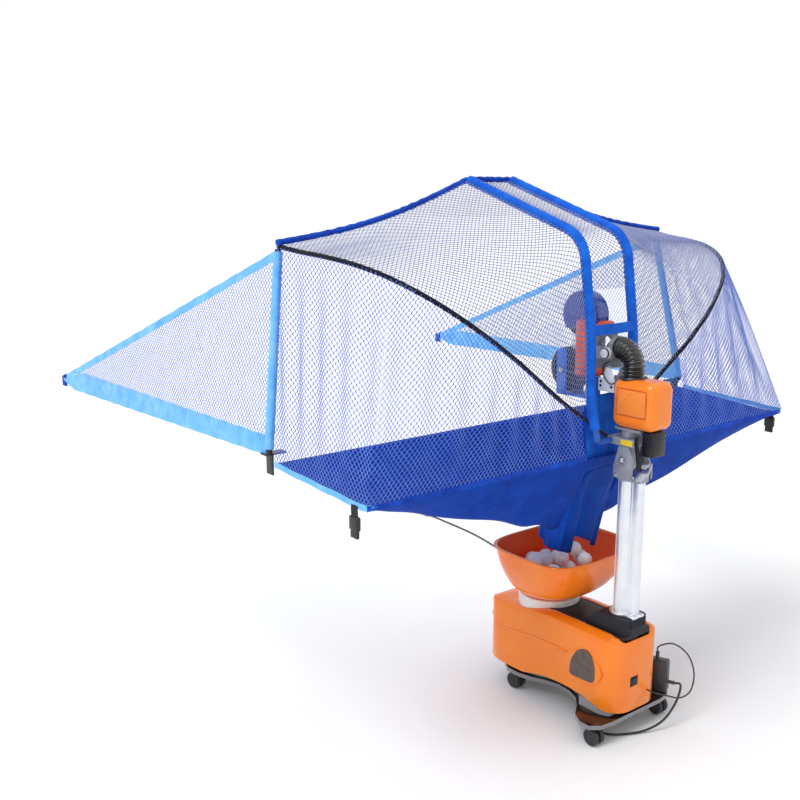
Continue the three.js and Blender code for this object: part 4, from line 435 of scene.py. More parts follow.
white_abs = finish("moulded_abs_white", "white_plastic", "#F3F3F0", "#E9E9E6", 30, 0.35, 1.0, 0.02)
satin_slate = finish("moulded_abs_slate", "slate_plastic", "#1A1E27", "#12151C", 25, 0.5, 0.9, 0.05,
                     Specular_IOR_Level=0.3)
refined("deck_cover", 1.2, satin_slate)
for k in range(6):
    level = 288 + k * 3.6
    points = [at(x, 480.15, z) for z in (level, level + 1.2) for x in (-30, 30)]
    points += [at(x, 480.9, z) for z in (level + 0.2, level + 1.0) for x in (-29.6, 29.6)]
    fin = mesh_piece("deck_fin_%d" % k, points, [(0, 1, 5, 4), (2, 6, 7, 3), (4, 5, 7, 6), (0, 4, 6, 2),
                                                 (1, 3, 7, 5), (0, 2, 3, 1)])
    dress(fin, satin_slate)
lens = finish("frosted_acrylic_lens", "lamp", "#FFF1EC", "#FBDAD2", 3, 0.15, 0.6, 0.02, IOR=1.49)
refined("status_lamp", 0.6, lens)
refined("power_switch", 0.5, nylon)
bezel = mesh_piece("switch_bezel", [at(20 + sx * (11.4 + w), 491 + d, 150 + sz * (10 + w))
                                    for d, w in ((0.0, 0.2), (1.2, 0.2), (1.2, 2.4), (0.0, 2.8))
                                    for sx, sz in ((-1, -1), (1, -1), (1, 1), (-1, 1))],
                   grid(4, 4, looped=True))
dress(bezel, nylon)


# ---- Column ----
# One aluminium extrusion, drawn with the ball tube and the cable rib in one, with long shadow grooves
# either side. Brushed along its length and clear anodised, so it carries long soft streaks.

anodised = finish("anodised_aluminium_brushed", "aluminium", "#EEF1F6", "#E0E4EA", 40, 0.4, 0.6, 0.003,
                  IOR=1.5, Metallic=1.0, Anisotropic=0.5)
brush_tree = anodised.node_tree
streaks = add(brush_tree, "Mapping", {"Scale": (2200.0, 2200.0, 12.0)},
              Vector=add(brush_tree, "TexCoord").outputs["Object"])
brushed = add(brush_tree, "TexNoise", {"Scale": 1.0, "Detail": 2.0}, Vector=streaks)
brush_tree.links.new(brushed.outputs[0], brush_tree.nodes["Bump"].inputs["Height"])
column_axis, tube_radius, rib_half, rib_rear = 428, 24.3, 14, 472.3


def column_outline(gap=0.0, grooves=True):
    """The extrusion's outline in plan: a round tube with two grooves a side and a rib behind."""
    outline = []
    start = asin((rib_half + gap) / (tube_radius + gap))
    for t in np.linspace(pi / 2 + start, 2.5 * pi - start, 97):
        radius = tube_radius + gap
        for middle in (-0.62, 0.1, pi - 0.1, pi + 0.62):
            off = abs((t - middle + pi) % (2 * pi) - pi)
            if grooves and off < 0.075:
                radius -= 1.7
        outline.append((radius * cos(t), column_axis + radius * sin(t)))
    rear, half = rib_rear + gap, rib_half + gap
    flank = [(half, rear - 20), (half - 1.4, rear - 18.5), (half - 1.4, rear - 14), (half, rear - 12.5)]
    flank = flank if grooves else []
    flank += [(half, rear - 4), (half - 1.2, rear - 1.2), (half - 4, rear), (4, rear), (3, rear - 1.4)]
    return outline + flank + [(-x, y) for x, y in reversed(flank)]


def prism(name, outline, levels):
    """An outline in plan carried up through levels of (height, growth), capped at both ends (mm)."""
    middle = np.mean(outline, axis=0)
    points, count = [], len(outline)
    for z, grow in levels:
        for x, y in outline:
            reach = np.array((x, y)) - middle
            x1, y1 = np.array((x, y)) + reach / max(np.linalg.norm(reach), 1e-6) * grow
            points.append(at(x1, y1, z))
    caps = [tuple(reversed(range(count))), tuple((len(levels) - 1) * count + j for j in range(count))]
    return mesh_piece(name, points, grid(len(levels), count) + caps, 30)


dress(prism("column_extrusion", column_outline(), [(206, 0), (699.4, 0), (700, -0.5)]), anodised, "column")
trim = prism("column_foot_ring", column_outline(9, False), [(310.4, -1.2), (311.4, 0), (315.4, 0),
                                                            (317.2, -2.2)])
dress(trim, anodised, "column_ring")


# ---- Hopper ----
# A deep thin-walled ABS bowl, round at its neck and softly square at its rolled rim, pushed into a white
# ring that screws to the housing. Gloss orange outside; the redder orange inside is painted light, the glow
# of the walls lighting each other.

hopper_y, bowl_foot, rim_height, bowl_wall = 175, 262, 431, 2.6
bowl_steps, foot_half, rim_half_x, rim_half_y, rim_y = 120, 75.6, 166, 141, 224
level_shares = [(0, 0), (0.16, 0), (0.19, 0.06), (0.21, 0.17), (0.27, 0.34), (0.34, 0.5), (0.42, 0.62),
                (0.55, 0.75), (0.7, 0.87), (0.85, 0.95), (1, 1)]


def bowl_ring(rise, out, inset, lift=0.0):
    """A ring at a share of the bowl's height and of its spread. It grows squarer as it spreads."""
    half_x = foot_half + (rim_half_x - foot_half) * out - inset
    half_y = foot_half + (rim_half_y - foot_half) * out - inset
    square = 2 / (2 + out * out * 2)
    ring = []
    for k in range(bowl_steps):
        c, s = cos(2 * pi * k / bowl_steps), sin(2 * pi * k / bowl_steps)
        ring.append(at(half_x * copysign(abs(c) ** square, c),
                       hopper_y + (rim_y - hopper_y) * out + half_y * copysign(abs(s) ** square, s),
                       bowl_foot + (rim_height - bowl_foot) * rise + lift))
    return ring


def skin(name, rings, closed=True, looped=False, smooth=40):
    """A surface through rings of points."""
    faces = grid(len(rings), len(rings[0]), closed, looped)
    return mesh_piece(name, [p for ring in rings for p in ring], faces, smooth)


outside = [bowl_ring(rise, out, 0) for rise, out in level_shares]
rolled = [bowl_ring(1, 1, inset, lift) for inset, lift in
          ((-3.5, 0.6), (-5.6, 2.2), (-6.2, 4.2), (-5.2, 5.8), (-2.5, 6.4), (0.6, 5.8), (2.2, 4))]
inside = [bowl_ring(rise, out, bowl_wall) for rise, out in reversed(level_shares)]
bowl = skin("hopper_bowl_shell", outside + rolled + inside, looped=True)
bowl_abs = finish("gloss_abs_orange_bowl", "orange_shell", "#FF8A24", "#FB761A", 150, 0.2, 1.8, 0.012,
                  Specular_IOR_Level=0.35, coat=(0.2, 0.08))
# Painted light: the inside's redder orange stands in for the light that the walls throw on each other.
bowl_inside_painted_glow = finish("satin_abs_orange_bowl_inside_painted_glow", "orange_shell", "#FF7428", "#FF631E", 60, 0.34, 1.2, 0.03,
                    Subsurface_Weight=0.4, Subsurface_Radius=(1.0, 0.3, 0.1), Subsurface_Scale=0.006)
dress(bowl, bowl_abs, "hopper_bowl")
bowl.data.materials.append(bowl_inside_painted_glow)
inner_from = (len(outside) + len(rolled) - 1) * bowl_steps
for face in bowl.data.polygons:
    if face.index >= inner_from:
        face.material_index = 1
ring_profile = [(249, 76), (249, 83.2), (249.8, 84), (284, 84), (285.8, 83.4), (287.4, 81.6), (288, 79.6),
                (288, 76.4), (287.4, 76), (249, 76)]
dress(lathe("hopper_ring_turned", ring_profile, 96, (0, hopper_y, 0), "z"), white_abs, "hopper_ring")

celluloid = finish("matt_polymer_ball_white", "white_plastic", "#FFFFFF", "#F1F1EE", 9, 0.42, 0.7, 0.02,
                   IOR=1.5)
ball_places = [(-52, 172, 346), (-10, 158, 340), (34, 170, 344), (66, 196, 360), (-92, 200, 372),
               (10, 200, 342), (-32, 214, 356), (52, 236, 372), (-66, 240, 380), (86, 158, 374),
               (-26, 178, 380), (18, 178, 378), (60, 178, 392), (-62, 204, 402), (-2, 214, 392),
               (96, 202, 398), (-22, 136, 370), (26, 132, 372)]
ball_radius = 20
for k, (x, y, z) in enumerate(ball_places):
    arc = [(ball_radius * cos(t), max(ball_radius * sin(t), 0.0)) for t in np.linspace(pi, 0, 19)]
    dress(lathe("ball_%02d" % k, arc, 32, (x, y, z), "xyz"[k % 3], 180), celluloid)


# ---- Feed works ----
# Inside the housing and seen only through the hopper: a white pocket wheel on a moulded gear, its pinion
# and gear motor, the ball channel, and the control board on its posts.

for node, bevel in (("feed_wheel", 0.8), ("feed_pinion", 0.3), ("ball_channel", 0.6)):
    refined(node, bevel, white_abs)
refined("feed_motor", 0.8, steel)
fibre_board = finish("glass_epoxy_board_green", "board", "#1E6B40", "#155132", 6, 0.35, 0.5, 0.05, IOR=1.55)
refined("control_board", 0.2, fibre_board)


# ---- Fold joint and bracket ----
# Die-cast aluminium parts in a grey powder coat: a clamp on the column with two cheeks, the knuckle
# between them and the net's cross bracket, held by plated bolts. A slotted latch plate and black lever.

powder = finish("powder_coated_casting_grey", "grey_metal", "#A2A6AE", "#8D9199", 20, 0.46, 1.4, 0.09,
                IOR=1.5, Metallic=0.25)
for node in ("clamp_casting", "fold_knuckle", "net_bracket"):
    refined(node, 0.9, powder)
refined("latch_plate", 0.4, steel)
refined("latch_lever", 0.8, nylon)
refined("junction_block", 1.2, nylon)


def bolt(name, place, radius, sign, material=steel):
    """A domed bolt head on a washer, standing on a face at the place (mm) and pointing along X."""
    profile = [(-1.0, 0), (-1.0, radius * 1.35), (0.7, radius * 1.35), (0.9, radius * 1.2), (0.9, radius),
               (radius * 0.7, radius * 0.92), (radius * 0.95, radius * 0.6), (radius, radius * 0.42),
               (radius * 0.55, radius * 0.4), (radius * 0.55, 0)]
    head = lathe(name, [(sign * a, r) for a, r in profile], 24, place, "x", 30)
    return dress(head, material)


for sign, side in sides:
    for name, x, y, z, radius in (("fold_bolt_", 34.0, 432, 718, 7), ("clamp_bolt_low_", 30.2, 412, 676, 4),
                                  ("clamp_bolt_rear_", 30.2, 466, 680, 4)):
        bolt(name + side, (sign * x, y, z), radius, sign)


def soft_box(name, low, high, radius, segments):
    """A box with all edges rounded to the radius, between two corners (mm)."""
    piece = placed(name, bpy.data.meshes.new(name))
    with reshaping(piece) as form:
        bmesh.ops.create_cube(form, size=1.0)
        for vert in form.verts:
            vert.co = at(*(lo + (hi - lo) * (c + 0.5) for lo, hi, c in zip(low, high, vert.co)))
        bmesh.ops.bevel(form, geom=form.edges[:], offset=radius / 1000, segments=segments, profile=0.5,
                        affect="EDGES")
    piece.data.shade_smooth()
    return piece


tag = soft_box("bracket_plate", (31, 424, 756.4), (33.8, 460, 769.8), 1.2, 3)
yellow_plate = finish("moulded_abs_yellow", None, "#F2D21F", "#E8C41A", 9, 0.35, 0.8, 0.03)
dress(tag, yellow_plate)


# ---- Upper box ----
# The electronics box on the column's head: a blow-round ABS shell in the same gloss orange, with a flat
# flip lid on its near side set in a shallow seam, and a round opening on top for the hose. The seam is a thin
# frame of darker orange laid on the face: painted shade.

dress(soft_box("upper_box_shell", (-44, 395, 800), (44, 524, 920), 23.5, 8), orange_abs, "upper_box")
lid_abs = finish("gloss_abs_orange_lid", "orange_shell", "#FF9433", "#FB8426", 60, 0.14, 1.6, 0.012,
                 coat=(0.4, 0.05))
refined("box_lid", 1.0, lid_abs)
# Painted shade: a flat frame of darker orange just off the box's face stands for the shade in the lid's seam.
seam = [(418 + dy, 836 + dz) for dy, dz in ((-1.6, -1.6), (85.6, -1.6), (85.6, 62.6), (-1.6, 62.6))]
seam_line = mesh_piece("lid_seam_painted_shade", [at(44.05, y, z) for y, z in seam]
                       + [at(44.05, 460 + (y - 460) * 1.035, 866 + (z - 866) * 1.045) for y, z in seam],
                       grid(2, 4))
painted_seam_shade = finish("gloss_abs_orange_painted_seam_shade", "orange_shell", "#B85A18", "#A04C14", 60, 0.3, 1.6, 0.012)
dress(seam_line, painted_seam_shade)
hose_seat = lathe("hose_seat", [(917, 29.2), (921.2, 29.6), (922.2, 31), (921.6, 34), (918.6, 36), (917, 36)],
                  64, (0, 428, 0), "z")
dress(hose_seat, charcoal)


# ---- Hose ----
# Blow-moulded black rubber bellows, a 43 mm bore with full round ribs, that carries the balls from the
# box up and forward to the head. Each rib's crown catches a crisp white line of light.

rubber = finish("moulded_rubber_black", "hose_rubber", "#18181B", "#0C0C0E", 15, 0.16, 0.9, 0.015, IOR=1.52,
                coat=(0.6, 0.05))
hose_start, hose_straight_top, hose_bend, hose_ribs = 860.4, 944, 45, 17
straight = hose_straight_top - hose_start
arc_length = hose_bend * pi / 2
hose_length = straight + arc_length + 3


def hose_ring(distance, radius):
    """A ring of the hose at a distance along it: straight up, then a quarter turn forward, then straight."""
    turn = min(max((distance - straight) / hose_bend, 0), pi / 2)
    beyond = max(distance - straight - arc_length, 0)
    y = column_axis - hose_bend * (1 - cos(turn)) - beyond
    z = hose_start + min(distance, straight) + hose_bend * sin(turn)
    return [at(radius * cos(t), y + radius * sin(t) * cos(turn),
               z + radius * sin(t) * sin(turn)) for t in np.linspace(0, 2 * pi, 64, False)]


cuff = 5
rib_pitch = (hose_length - 2 * cuff) / hose_ribs
rings = [hose_ring(0, 22), hose_ring(0, 24), hose_ring(cuff, 24)]
for k in range(hose_ribs):
    for share, rise in ((0.08, 0), (0.2, 1.6), (0.32, 3.6), (0.44, 4.4), (0.56, 4.4), (0.68, 3.6),
                        (0.8, 1.6), (0.92, 0)):
        rings.append(hose_ring(cuff + rib_pitch * (k + share), 24 + rise))
rings += [hose_ring(hose_length - cuff, 24), hose_ring(hose_length, 24)]
rings += [hose_ring(hose_length * share, 21) for share in (1, 0.75, 0.5, 0.25, 0)]
dress(skin("hose_bellows", rings, looped=True, smooth=60), rubber, "hose")


# ---- Elbow, cradle and knob ----
# A grey moulded ball elbow on trunnions, in a folded pale steel cradle bolted to the box, with a round
# thumb knob on a dark washer that locks the tilt.

elbow_grey = finish("moulded_nylon_grey", "grey_metal", "#8A8D93", "#7A7D84", 14, 0.42, 0.9, 0.05, IOR=1.53)
pale_coat = finish("powder_coated_sheet_pale", "pale_metal", "#DFE5EE", "#D2D9E4", 25, 0.42, 1.2, 0.06,
                   IOR=1.5)
refined("elbow", 0.8, elbow_grey, angle=30)
refined("cradle", 0.9, pale_coat)
refined("tilt_frame", 0.9, powder)
for sign, side in sides:
    for k, (y, z) in enumerate(((352, 893), (386, 893), (352, 904))):
        bolt("cradle_screw_%s_%d" % (side, k), (sign * 31, y, z), 2.6, sign, nylon)
knob_profile = [(42.4, 0), (42.4, 13.6), (43.6, 14.4), (44.6, 13.8), (44.6, 12.2), (46, 11.6), (52, 11.4),
                (54, 10.2), (54.4, 8), (54.4, 0)]
knob_place = (0, 376, 978)
knob_plastic = finish("moulded_abs_pale_grey", "pale_plastic", "#D9DCDF", "#CBCED2", 10, 0.36, 0.8, 0.03)
dress(lathe("thumb_knob", knob_profile, 48, knob_place, "x", 35), knob_plastic, "tilt_knob", body="knob")
grip_profile = [(46.6, 11.7), (46.6, 12.9), (47.2, 13.3), (50.8, 13.3), (51.6, 12.7), (51.6, 11.5)]
dress(lathe("knob_grip", grip_profile, 48, knob_place, "x", 35), charcoal, body="knob")


# ---- Head ----
# Two rubber-faced throw wheels above and below the ball's path, each on its own can motor. Red-orange
# moulded body, bright blue pressed-steel fork, a dark blue round guard and a white moulded nozzle.

red_abs = finish("gloss_abs_red_orange", "orange_shell", "#F0561F", "#E04A18", 60, 0.2, 1.4, 0.015,
                 coat=(0.3, 0.08))
refined("head_housing", 1.2, red_abs)
refined("ball_nozzle", 0.5, white_abs)
blue_coat = finish("powder_coated_steel_blue", "blue_metal", "#2A84F0", "#1A6CDC", 25, 0.34, 1.2, 0.05,
                   IOR=1.5)
refined("lower_fork", 0.7, blue_coat)
upper_axis, lower_axis = (0, 268.147, 1059.94), (0, 223.853, 915.06)


def thicken(piece, thickness, offset):
    """Gives a skin its thickness (m), inwards at an offset of -1 and both ways at 0."""
    wall = piece.modifiers.new("wall", "SOLIDIFY")
    wall.thickness, wall.offset = thickness, offset


guard_abs = finish("speckled_abs_navy", "guard_plastic", "#3A52B0", "#24347E", 4, 0.18, 1.2, 0.02,
                   coat=(0.4, 0.06))
speck_tree = guard_abs.node_tree
specks = add(speck_tree, "TexVoronoi", {"Scale": 330.0}, Vector=add(speck_tree, "TexCoord").outputs["Object"])
fleck = add(speck_tree, "ValToRGB", {"stops": [(0.0, "#B4C4F4"), (0.24, "#5C76CC"), (0.5, "#2C3D94")]},
            Fac=specks)
speck_tree.links.new(fleck.outputs["Color"], speck_tree.nodes["Principled BSDF"].inputs["Base Color"])
guard_radius, guard_half, guard_round = 61, 23, 9
profile = [(guard_half - guard_round * (1 - sin(t)), guard_radius - guard_round * (1 - cos(t)))
           for t in np.linspace(0, pi / 2 - 0.2, 7)]
profile += [(guard_half - 0.4, 46), (guard_half, 30), (guard_half, 0.0)]
guard = lathe("wheel_guard", both_ways(profile), 72, upper_axis, "x", 50)
with reshaping(guard) as form:
    bmesh.ops.bisect_plane(form, geom=form.verts[:] + form.edges[:] + form.faces[:], plane_no=(0, 0, -1),
                           plane_co=at(0, upper_axis[1], upper_axis[2] - 37), clear_outer=True)
thicken(guard, 0.0025, -1)
rounded_over(guard, 50)
dress(guard, guard_abs, "upper_guard", body="head")

motor_navy = finish("gloss_lacquered_can_navy", "guard_plastic", "#20294E", "#161C38", 12, 0.16, 1.0, 0.01,
                    IOR=1.5, coat=(0.5, 0.05))
foam = finish("moulded_rubber_wheel_charcoal", "wheel_foam", "#37373B", "#242427", 3, 0.8, 0.8, 0.35,
              IOR=1.52)


def throw_wheel(place, axis_place, motor_start, near_end, body):
    """A spoked wheel with a grooved rubber tyre on its axle, and the domed can motor that turns it."""
    half = [(1.8, 56), (2.4, 57), (7.4, 57), (8, 56), (8.6, 57), (12, 57), (13, 55.4), (13, 45.6), (12.4, 45),
            (7, 44.6), (5, 43), (5, 4.2)]
    axle = [(-motor_start - 14, 0), (-motor_start - 14, 4), (-5, 4.0), *both_ways(half), (5, 4.0),
            (near_end, 4), (near_end, 0)]
    wheel = lathe("throw_%s_wheel" % place, axle, 64, axis_place, "x", 35)
    dress(wheel, foam, place + "_wheel", body=body)
    can = [(0, 4.4), (0, 20.2), (0.8, 21), (12, 21), (12.8, 20.4), (13.6, 21), (38, 21)]
    can += [(38 + 8 * sin(t), 13 + 8 * cos(t)) for t in np.linspace(0.2, pi / 2, 7)]
    can = [(-motor_start - a, r) for a, r in can + [(46, 6), (45, 5), (45, 0)]]
    motor = lathe("throw_%s_motor" % place, can, 48, axis_place, "x", 40)
    dress(motor, motor_navy, place + "_motor", body="head")


throw_wheel("upper", upper_axis, 23.4, 20.1, "throw_upper")
throw_wheel("lower", lower_axis, 34.9, 36.5, "throw_lower")
for sign, side in sides:
    nut = lathe("axle_nut_" + side, [(sign * 34.6, 4.6), (sign * 34.6, 8), (sign * 38, 8), (sign * 38.6, 7),
                                          (sign * 38.6, 4.6)], 6, lower_axis, "x", 20)
    dress(nut, steel, body="head")


# ---- Net frame ----
# Two bent steel arms from the bracket, two poles that hook on the table's end, and two flexible glass-
# fibre rods that spread the net. Arms and poles wear sewn sleeves of bright blue woven polyester.

def cloth(name, light, dark, thread, roughness=0.85, sheen=0.35):
    """Woven polyester: crossing threads (mm apart, drawn coarse enough to show) and soft shade patches."""
    material, tree, shader = surface(name)
    place = add(tree, "TexCoord").outputs["Object"]
    cloud = add(tree, "TexNoise", {"Scale": 22.0, "Detail": 6.0, "Roughness": 0.62}, Vector=place)
    shade = add(tree, "ValToRGB", {"stops": [(0.32, dark), (0.7, light)]}, Fac=cloud)
    warp, weft = (add(tree, "TexWave", {"wave_type": "BANDS", "bands_direction": way, "Scale": 160 / thread,
                                        "Distortion": 0.6}, Vector=place) for way in "XZ")
    weave = add(tree, "Math", {"operation": "MAXIMUM"}, warp.outputs[1], weft.outputs[1])
    threads = add(tree, "Bump", {"Strength": 0.5, "Distance": thread / 5000}, Height=weave)
    creases = add(tree, "TexNoise", {"Scale": 26.0, "Detail": 3.0, "Roughness": 0.5}, Vector=place)
    crease = add(tree, "Bump", {"Strength": 0.5, "Distance": 0.003}, Height=creases,
                 Normal=threads)
    tree.links.new(shade.outputs["Color"], shader.inputs["Base Color"])
    tree.links.new(crease.outputs["Normal"], shader.inputs["Normal"])
    for key, value in (("Roughness", roughness), ("Sheen Weight", sheen), ("Sheen Roughness", 0.4),
                       ("IOR", 1.5), ("Specular IOR Level", 0.12)):
        shader.inputs[key].default_value = value
    return material


def tube(name, line, radius, steps):
    """A round tube along points in metres. radius (m) is one value or one for each point."""
    line = np.array([tuple(p) for p in line])
    radii = np.broadcast_to(np.asarray(radius, float), len(line))
    tangents = np.gradient(line, axis=0)
    tangents /= np.linalg.norm(tangents, axis=1)[:, None]
    side = np.cross(tangents[0], (0.31, 0.17, 0.93))
    rings = []
    for place, along, r in zip(line, tangents, radii):
        side = side - along * np.dot(side, along)
        side /= np.linalg.norm(side)
        other = np.cross(along, side)
        rings.append([place + r * (cos(t) * side + sin(t) * other)
                      for t in np.linspace(0, 2 * pi, steps, False)])
    return closed_up(skin(name, rings), 60, welded=False)


def run_along(path):
    """How far along the path each of its points lies."""
    return np.concatenate([[0], np.cumsum(np.linalg.norm(np.diff(path, axis=0), axis=1))])


def read_off(marks, run, path):
    """The path's places at the marks, where run says how far along each of its points lies."""
    return np.stack([np.interp(marks, run, path[:, k]) for k in range(3)], axis=1)


def resampled(path, step=None, count=None):
    """The same line with points evenly spaced along it."""
    path = np.asarray(path, float)
    run = run_along(path)
    return read_off(np.linspace(0, run[-1], count or max(int(run[-1] / step), 2)), run, path)


arm_half = 79  # the arms' distance from the middle plane
peak, arm_bend, arm_turn = (np.array((arm_half, y, z)) for y, z in
                            ((-88, 1394.0), (323, 1257.0), (361, 870.0)))
pole_foot, pole_top = np.array((775, -2, 758.0)), np.array((696, -68, 1232.0))
rod_low = np.array((26, 375.3, 767))
arm_corners = [peak, arm_bend, (arm_half, 360, 1000), arm_turn, (arm_half, 391, 762.2)]
arm_path = resampled(rounded_path(arm_corners, 60), step=6)
rod_reach = 472  # the scale of the rod's bow
bows = ((pole_top, (-0.133, 0.362, -0.068)), (pole_top, (0.066, 1.148, 0.093)),
        (rod_low, (-0.119, -0.115, -0.087)))
pulls = [pole_top + (0, 0, 6.5)] + [end + rod_reach * np.array(bow) for end, bow in bows]


def rod_at(share):
    """The rod's middle at a share of its run from the pole."""
    a, b, c, d = pulls
    return (a * (1 - share) ** 3 + 3 * b * share * (1 - share) ** 2 + 3 * c * share ** 2 * (1 - share)
            + d * share ** 3)


def mirrored(points, sign):
    """Points (mm) of the +X side as points of the shared frame on either side."""
    return [at(sign * x, y, z) for x, y, z in points]


band_cloth = cloth("woven_webbing_light_blue", "#8ACBFF", "#55AAF6", 2.0)
sleeve_cloth = cloth("woven_polyester_blue", "#1E72E6", "#1252C0", 2.4, 0.8, 0.12)
hem_cloth = cloth("woven_polyester_deep_blue", "#1C56CE", "#1038A0", 2.4, 0.8, 0.12)
glass_fibre = finish("pultruded_glass_fibre_black", "rod_plastic", "#1B1B24", "#101018", 30, 0.3, 0.7, 0.02,
                     IOR=1.52)
piping_cloth = cloth("woven_polyester_black", "#20222E", "#12131C", 2.4, 0.7, 0.2)
arm_steel = finish("powder_coated_tube_blue", "blue_metal", "#2566C6", "#1C54AC", 25, 0.36, 1.2, 0.05,
                   IOR=1.5)
hook_steel = finish("powder_coated_hook_black", "blue_metal", "#26272C", "#1A1B1F", 25, 0.4, 1.2, 0.05,
                    IOR=1.5)
refined("net_arms", 0.6, arm_steel, angle=50)
rng = np.random.default_rng(7)
arm_sleeve_from, piping_from = 786, 100  # a height, and a distance from the middle plane


def gathered(run, radius, depth, pitch):
    """Radii in metres along a sleeve whose cloth is gathered in small uneven puckers, at every 4 mm."""
    marks = 4.0 * np.arange(len(run))
    wave = np.sin(marks / pitch * 2 * pi + 2.2 * np.sin(marks / 61)) * (0.6 + 0.4 * np.sin(marks / 37))
    return (radius + depth * wave + rng.normal(0, depth * 0.2, len(marks))) / 1000


for sign, side in sides:
    refined("pole_" + side, 0.8, hook_steel, angle=50)
    along_pole = [pole_foot + (pole_top - pole_foot) * share for share in (0.035, 0.985)]
    for name, path, radius, pitch, steps, material in (
            ("pole_sleeve_", along_pole, 11.2, 46, 20, band_cloth),
            ("arm_sleeve_", arm_path[arm_path[:, 2] > arm_sleeve_from], 12.6, 34, 24, sleeve_cloth)):
        run = resampled(path, step=4)
        dress(tube(name + side, mirrored(run, sign), gathered(run, radius, 0.5, pitch), steps), material)
    knots = [rod_at(share) for share in (0, 0.12, 0.24, 0.36, 0.48, 0.6, 0.7, 0.8)]
    knots += [arm_turn + arm_half * np.array((1.09, -0.114, -0.05)), rod_low]
    line = [np.array(p) for p in smooth_line(knots, 12)]
    dress(tube("spreader_rod_" + side, mirrored(line, sign), 0.004, 12), glass_fibre, "rod_" + side)
    covered = resampled([p for p in line if p[0] > piping_from], step=5)
    dress(tube("rod_piping_" + side, mirrored(covered, sign), 0.0057, 14), piping_cloth)


# ---- Catch net ----
# Warp-knitted polyester mesh: pairs of threads run together, part and join again, round six-sided holes.
# It is drawn coarser than the real one, 12.5 mm from hole to hole, so that it shows. Sewn into blue hems
# in front and a light blue woven band on the rim.

mesh_pitch, strand = 12.5, 0.85  # from hole to hole, and the thread's half width (mm)
samples = 400  # points that stand for an edge of the netting


def netting(low_line, high_line, low_trim=0.0, high_trim=0.0, sag=0.0, waves=0.0):
    """Knitted mesh between two lines of the +X side, threads upwards from the low one. All in mm.
    The threads are three-sided tubes whose ends stay open inside the hems that they are sewn into.
    Returns the points, the faces, and the cut's width, length and area."""
    low, high = resampled(low_line, count=samples), resampled(high_line, count=samples)
    run = run_along(low)
    joined, parted = 0.27 * mesh_pitch, 0.33 * mesh_pitch  # how far two threads run together and apart
    repeat = 2 * (joined + parted)
    near, far = strand * 0.8, mesh_pitch / 2 - strand * 0.8  # from the middle of a pair to its threads
    points, faces, total = [], [], 0
    for k in range(int(2 * (run[-1] - 2) / mesh_pitch)):
        pair, turn = divmod(k, 2)
        side = 1 if turn else -1
        middle = (pair + 0.5) * mesh_pitch
        here = np.clip(middle / run[-1], 0, 1)
        top = np.linalg.norm(read_off([here], np.linspace(0, 1, samples), high - low)) - high_trim
        levels = np.arange(int((top - low_trim) / repeat) + 1)[:, None]
        up = (low_trim + levels * repeat + (0, joined, joined + parted, 2 * joined + parted)).ravel()
        across = middle + side * np.tile((near, near, far, far), len(levels))
        keep = up <= top
        if keep.sum() < 2:
            continue
        up, across = up[keep], across[keep]
        share = np.clip(across / run[-1], 0, 1) * (samples - 1)
        base, head = read_off(share, np.arange(samples), low), read_off(share, np.arange(samples), high)
        length = np.linalg.norm(head - base, axis=1)
        level = np.clip(up / length, 0, 1)[:, None]
        line = base + (head - base) * level
        swell = np.sin(pi * level[:, 0])
        part = share / (samples - 1)
        line[:, 2] -= sag * swell * np.cos(part * pi / 2) ** 0.4
        nearby = np.clip((int(share[0]) - 8, int(share[0]) + 8), 0, samples - 1)
        face_normal = np.cross(head[0] - base[0], low[nearby[1]] - low[nearby[0]])
        face_normal /= np.linalg.norm(face_normal)
        ripple = np.sin(part * run[-1] / 84 * 2 * pi + level[:, 0] * 2 + 2 * np.sin(share / 61))
        line += (waves * swell * ripple)[:, None] * face_normal
        along = np.gradient(line, axis=0)
        along /= np.linalg.norm(along, axis=1)[:, None]
        beside = np.cross(along, face_normal)
        beside /= np.linalg.norm(beside, axis=1)[:, None]
        count = len(line)
        for t in (0, 2 * pi / 3, 4 * pi / 3):
            points.append(line + strand * (cos(t) * face_normal + sin(t) * beside))
        for j in range(3):
            a, b = total + j * count, total + (j + 1) % 3 * count
            index = np.arange(count - 1)
            faces.append(np.stack([a + index, b + index, b + index + 1, a + index + 1], axis=1))
        total += 3 * count
    spans = np.linalg.norm(high - low, axis=1)
    area = float(np.sum((spans[1:] + spans[:-1]) / 2 * np.diff(run)))
    return np.concatenate(points), np.concatenate(faces), max(spans), run[-1], area


def net_piece(name, sign, knit, material, **sheet_facts):
    """The netting as a piece on one side. The sheet facts are not used."""
    points, faces, width, length, area = knit
    places = (points * (sign, 1, 1) + (0, table_end, 0)) / 1000
    piece = mesh_piece(name, places.tolist(), faces.tolist())
    piece.data.shade_smooth()
    dress(piece, material)


canopy_yarn = cloth("knitted_polyester_lilac", "#A4ACD4", "#7C87BE", 3.0, 0.8, 0.25)
skirt_yarn = cloth("knitted_polyester_periwinkle", "#7494F0", "#4E70DC", 3.0, 0.8, 0.25)
wing_yarn = cloth("knitted_polyester_pale_blue", "#AFC0F2", "#8AA2E4", 3.0, 0.8, 0.25)

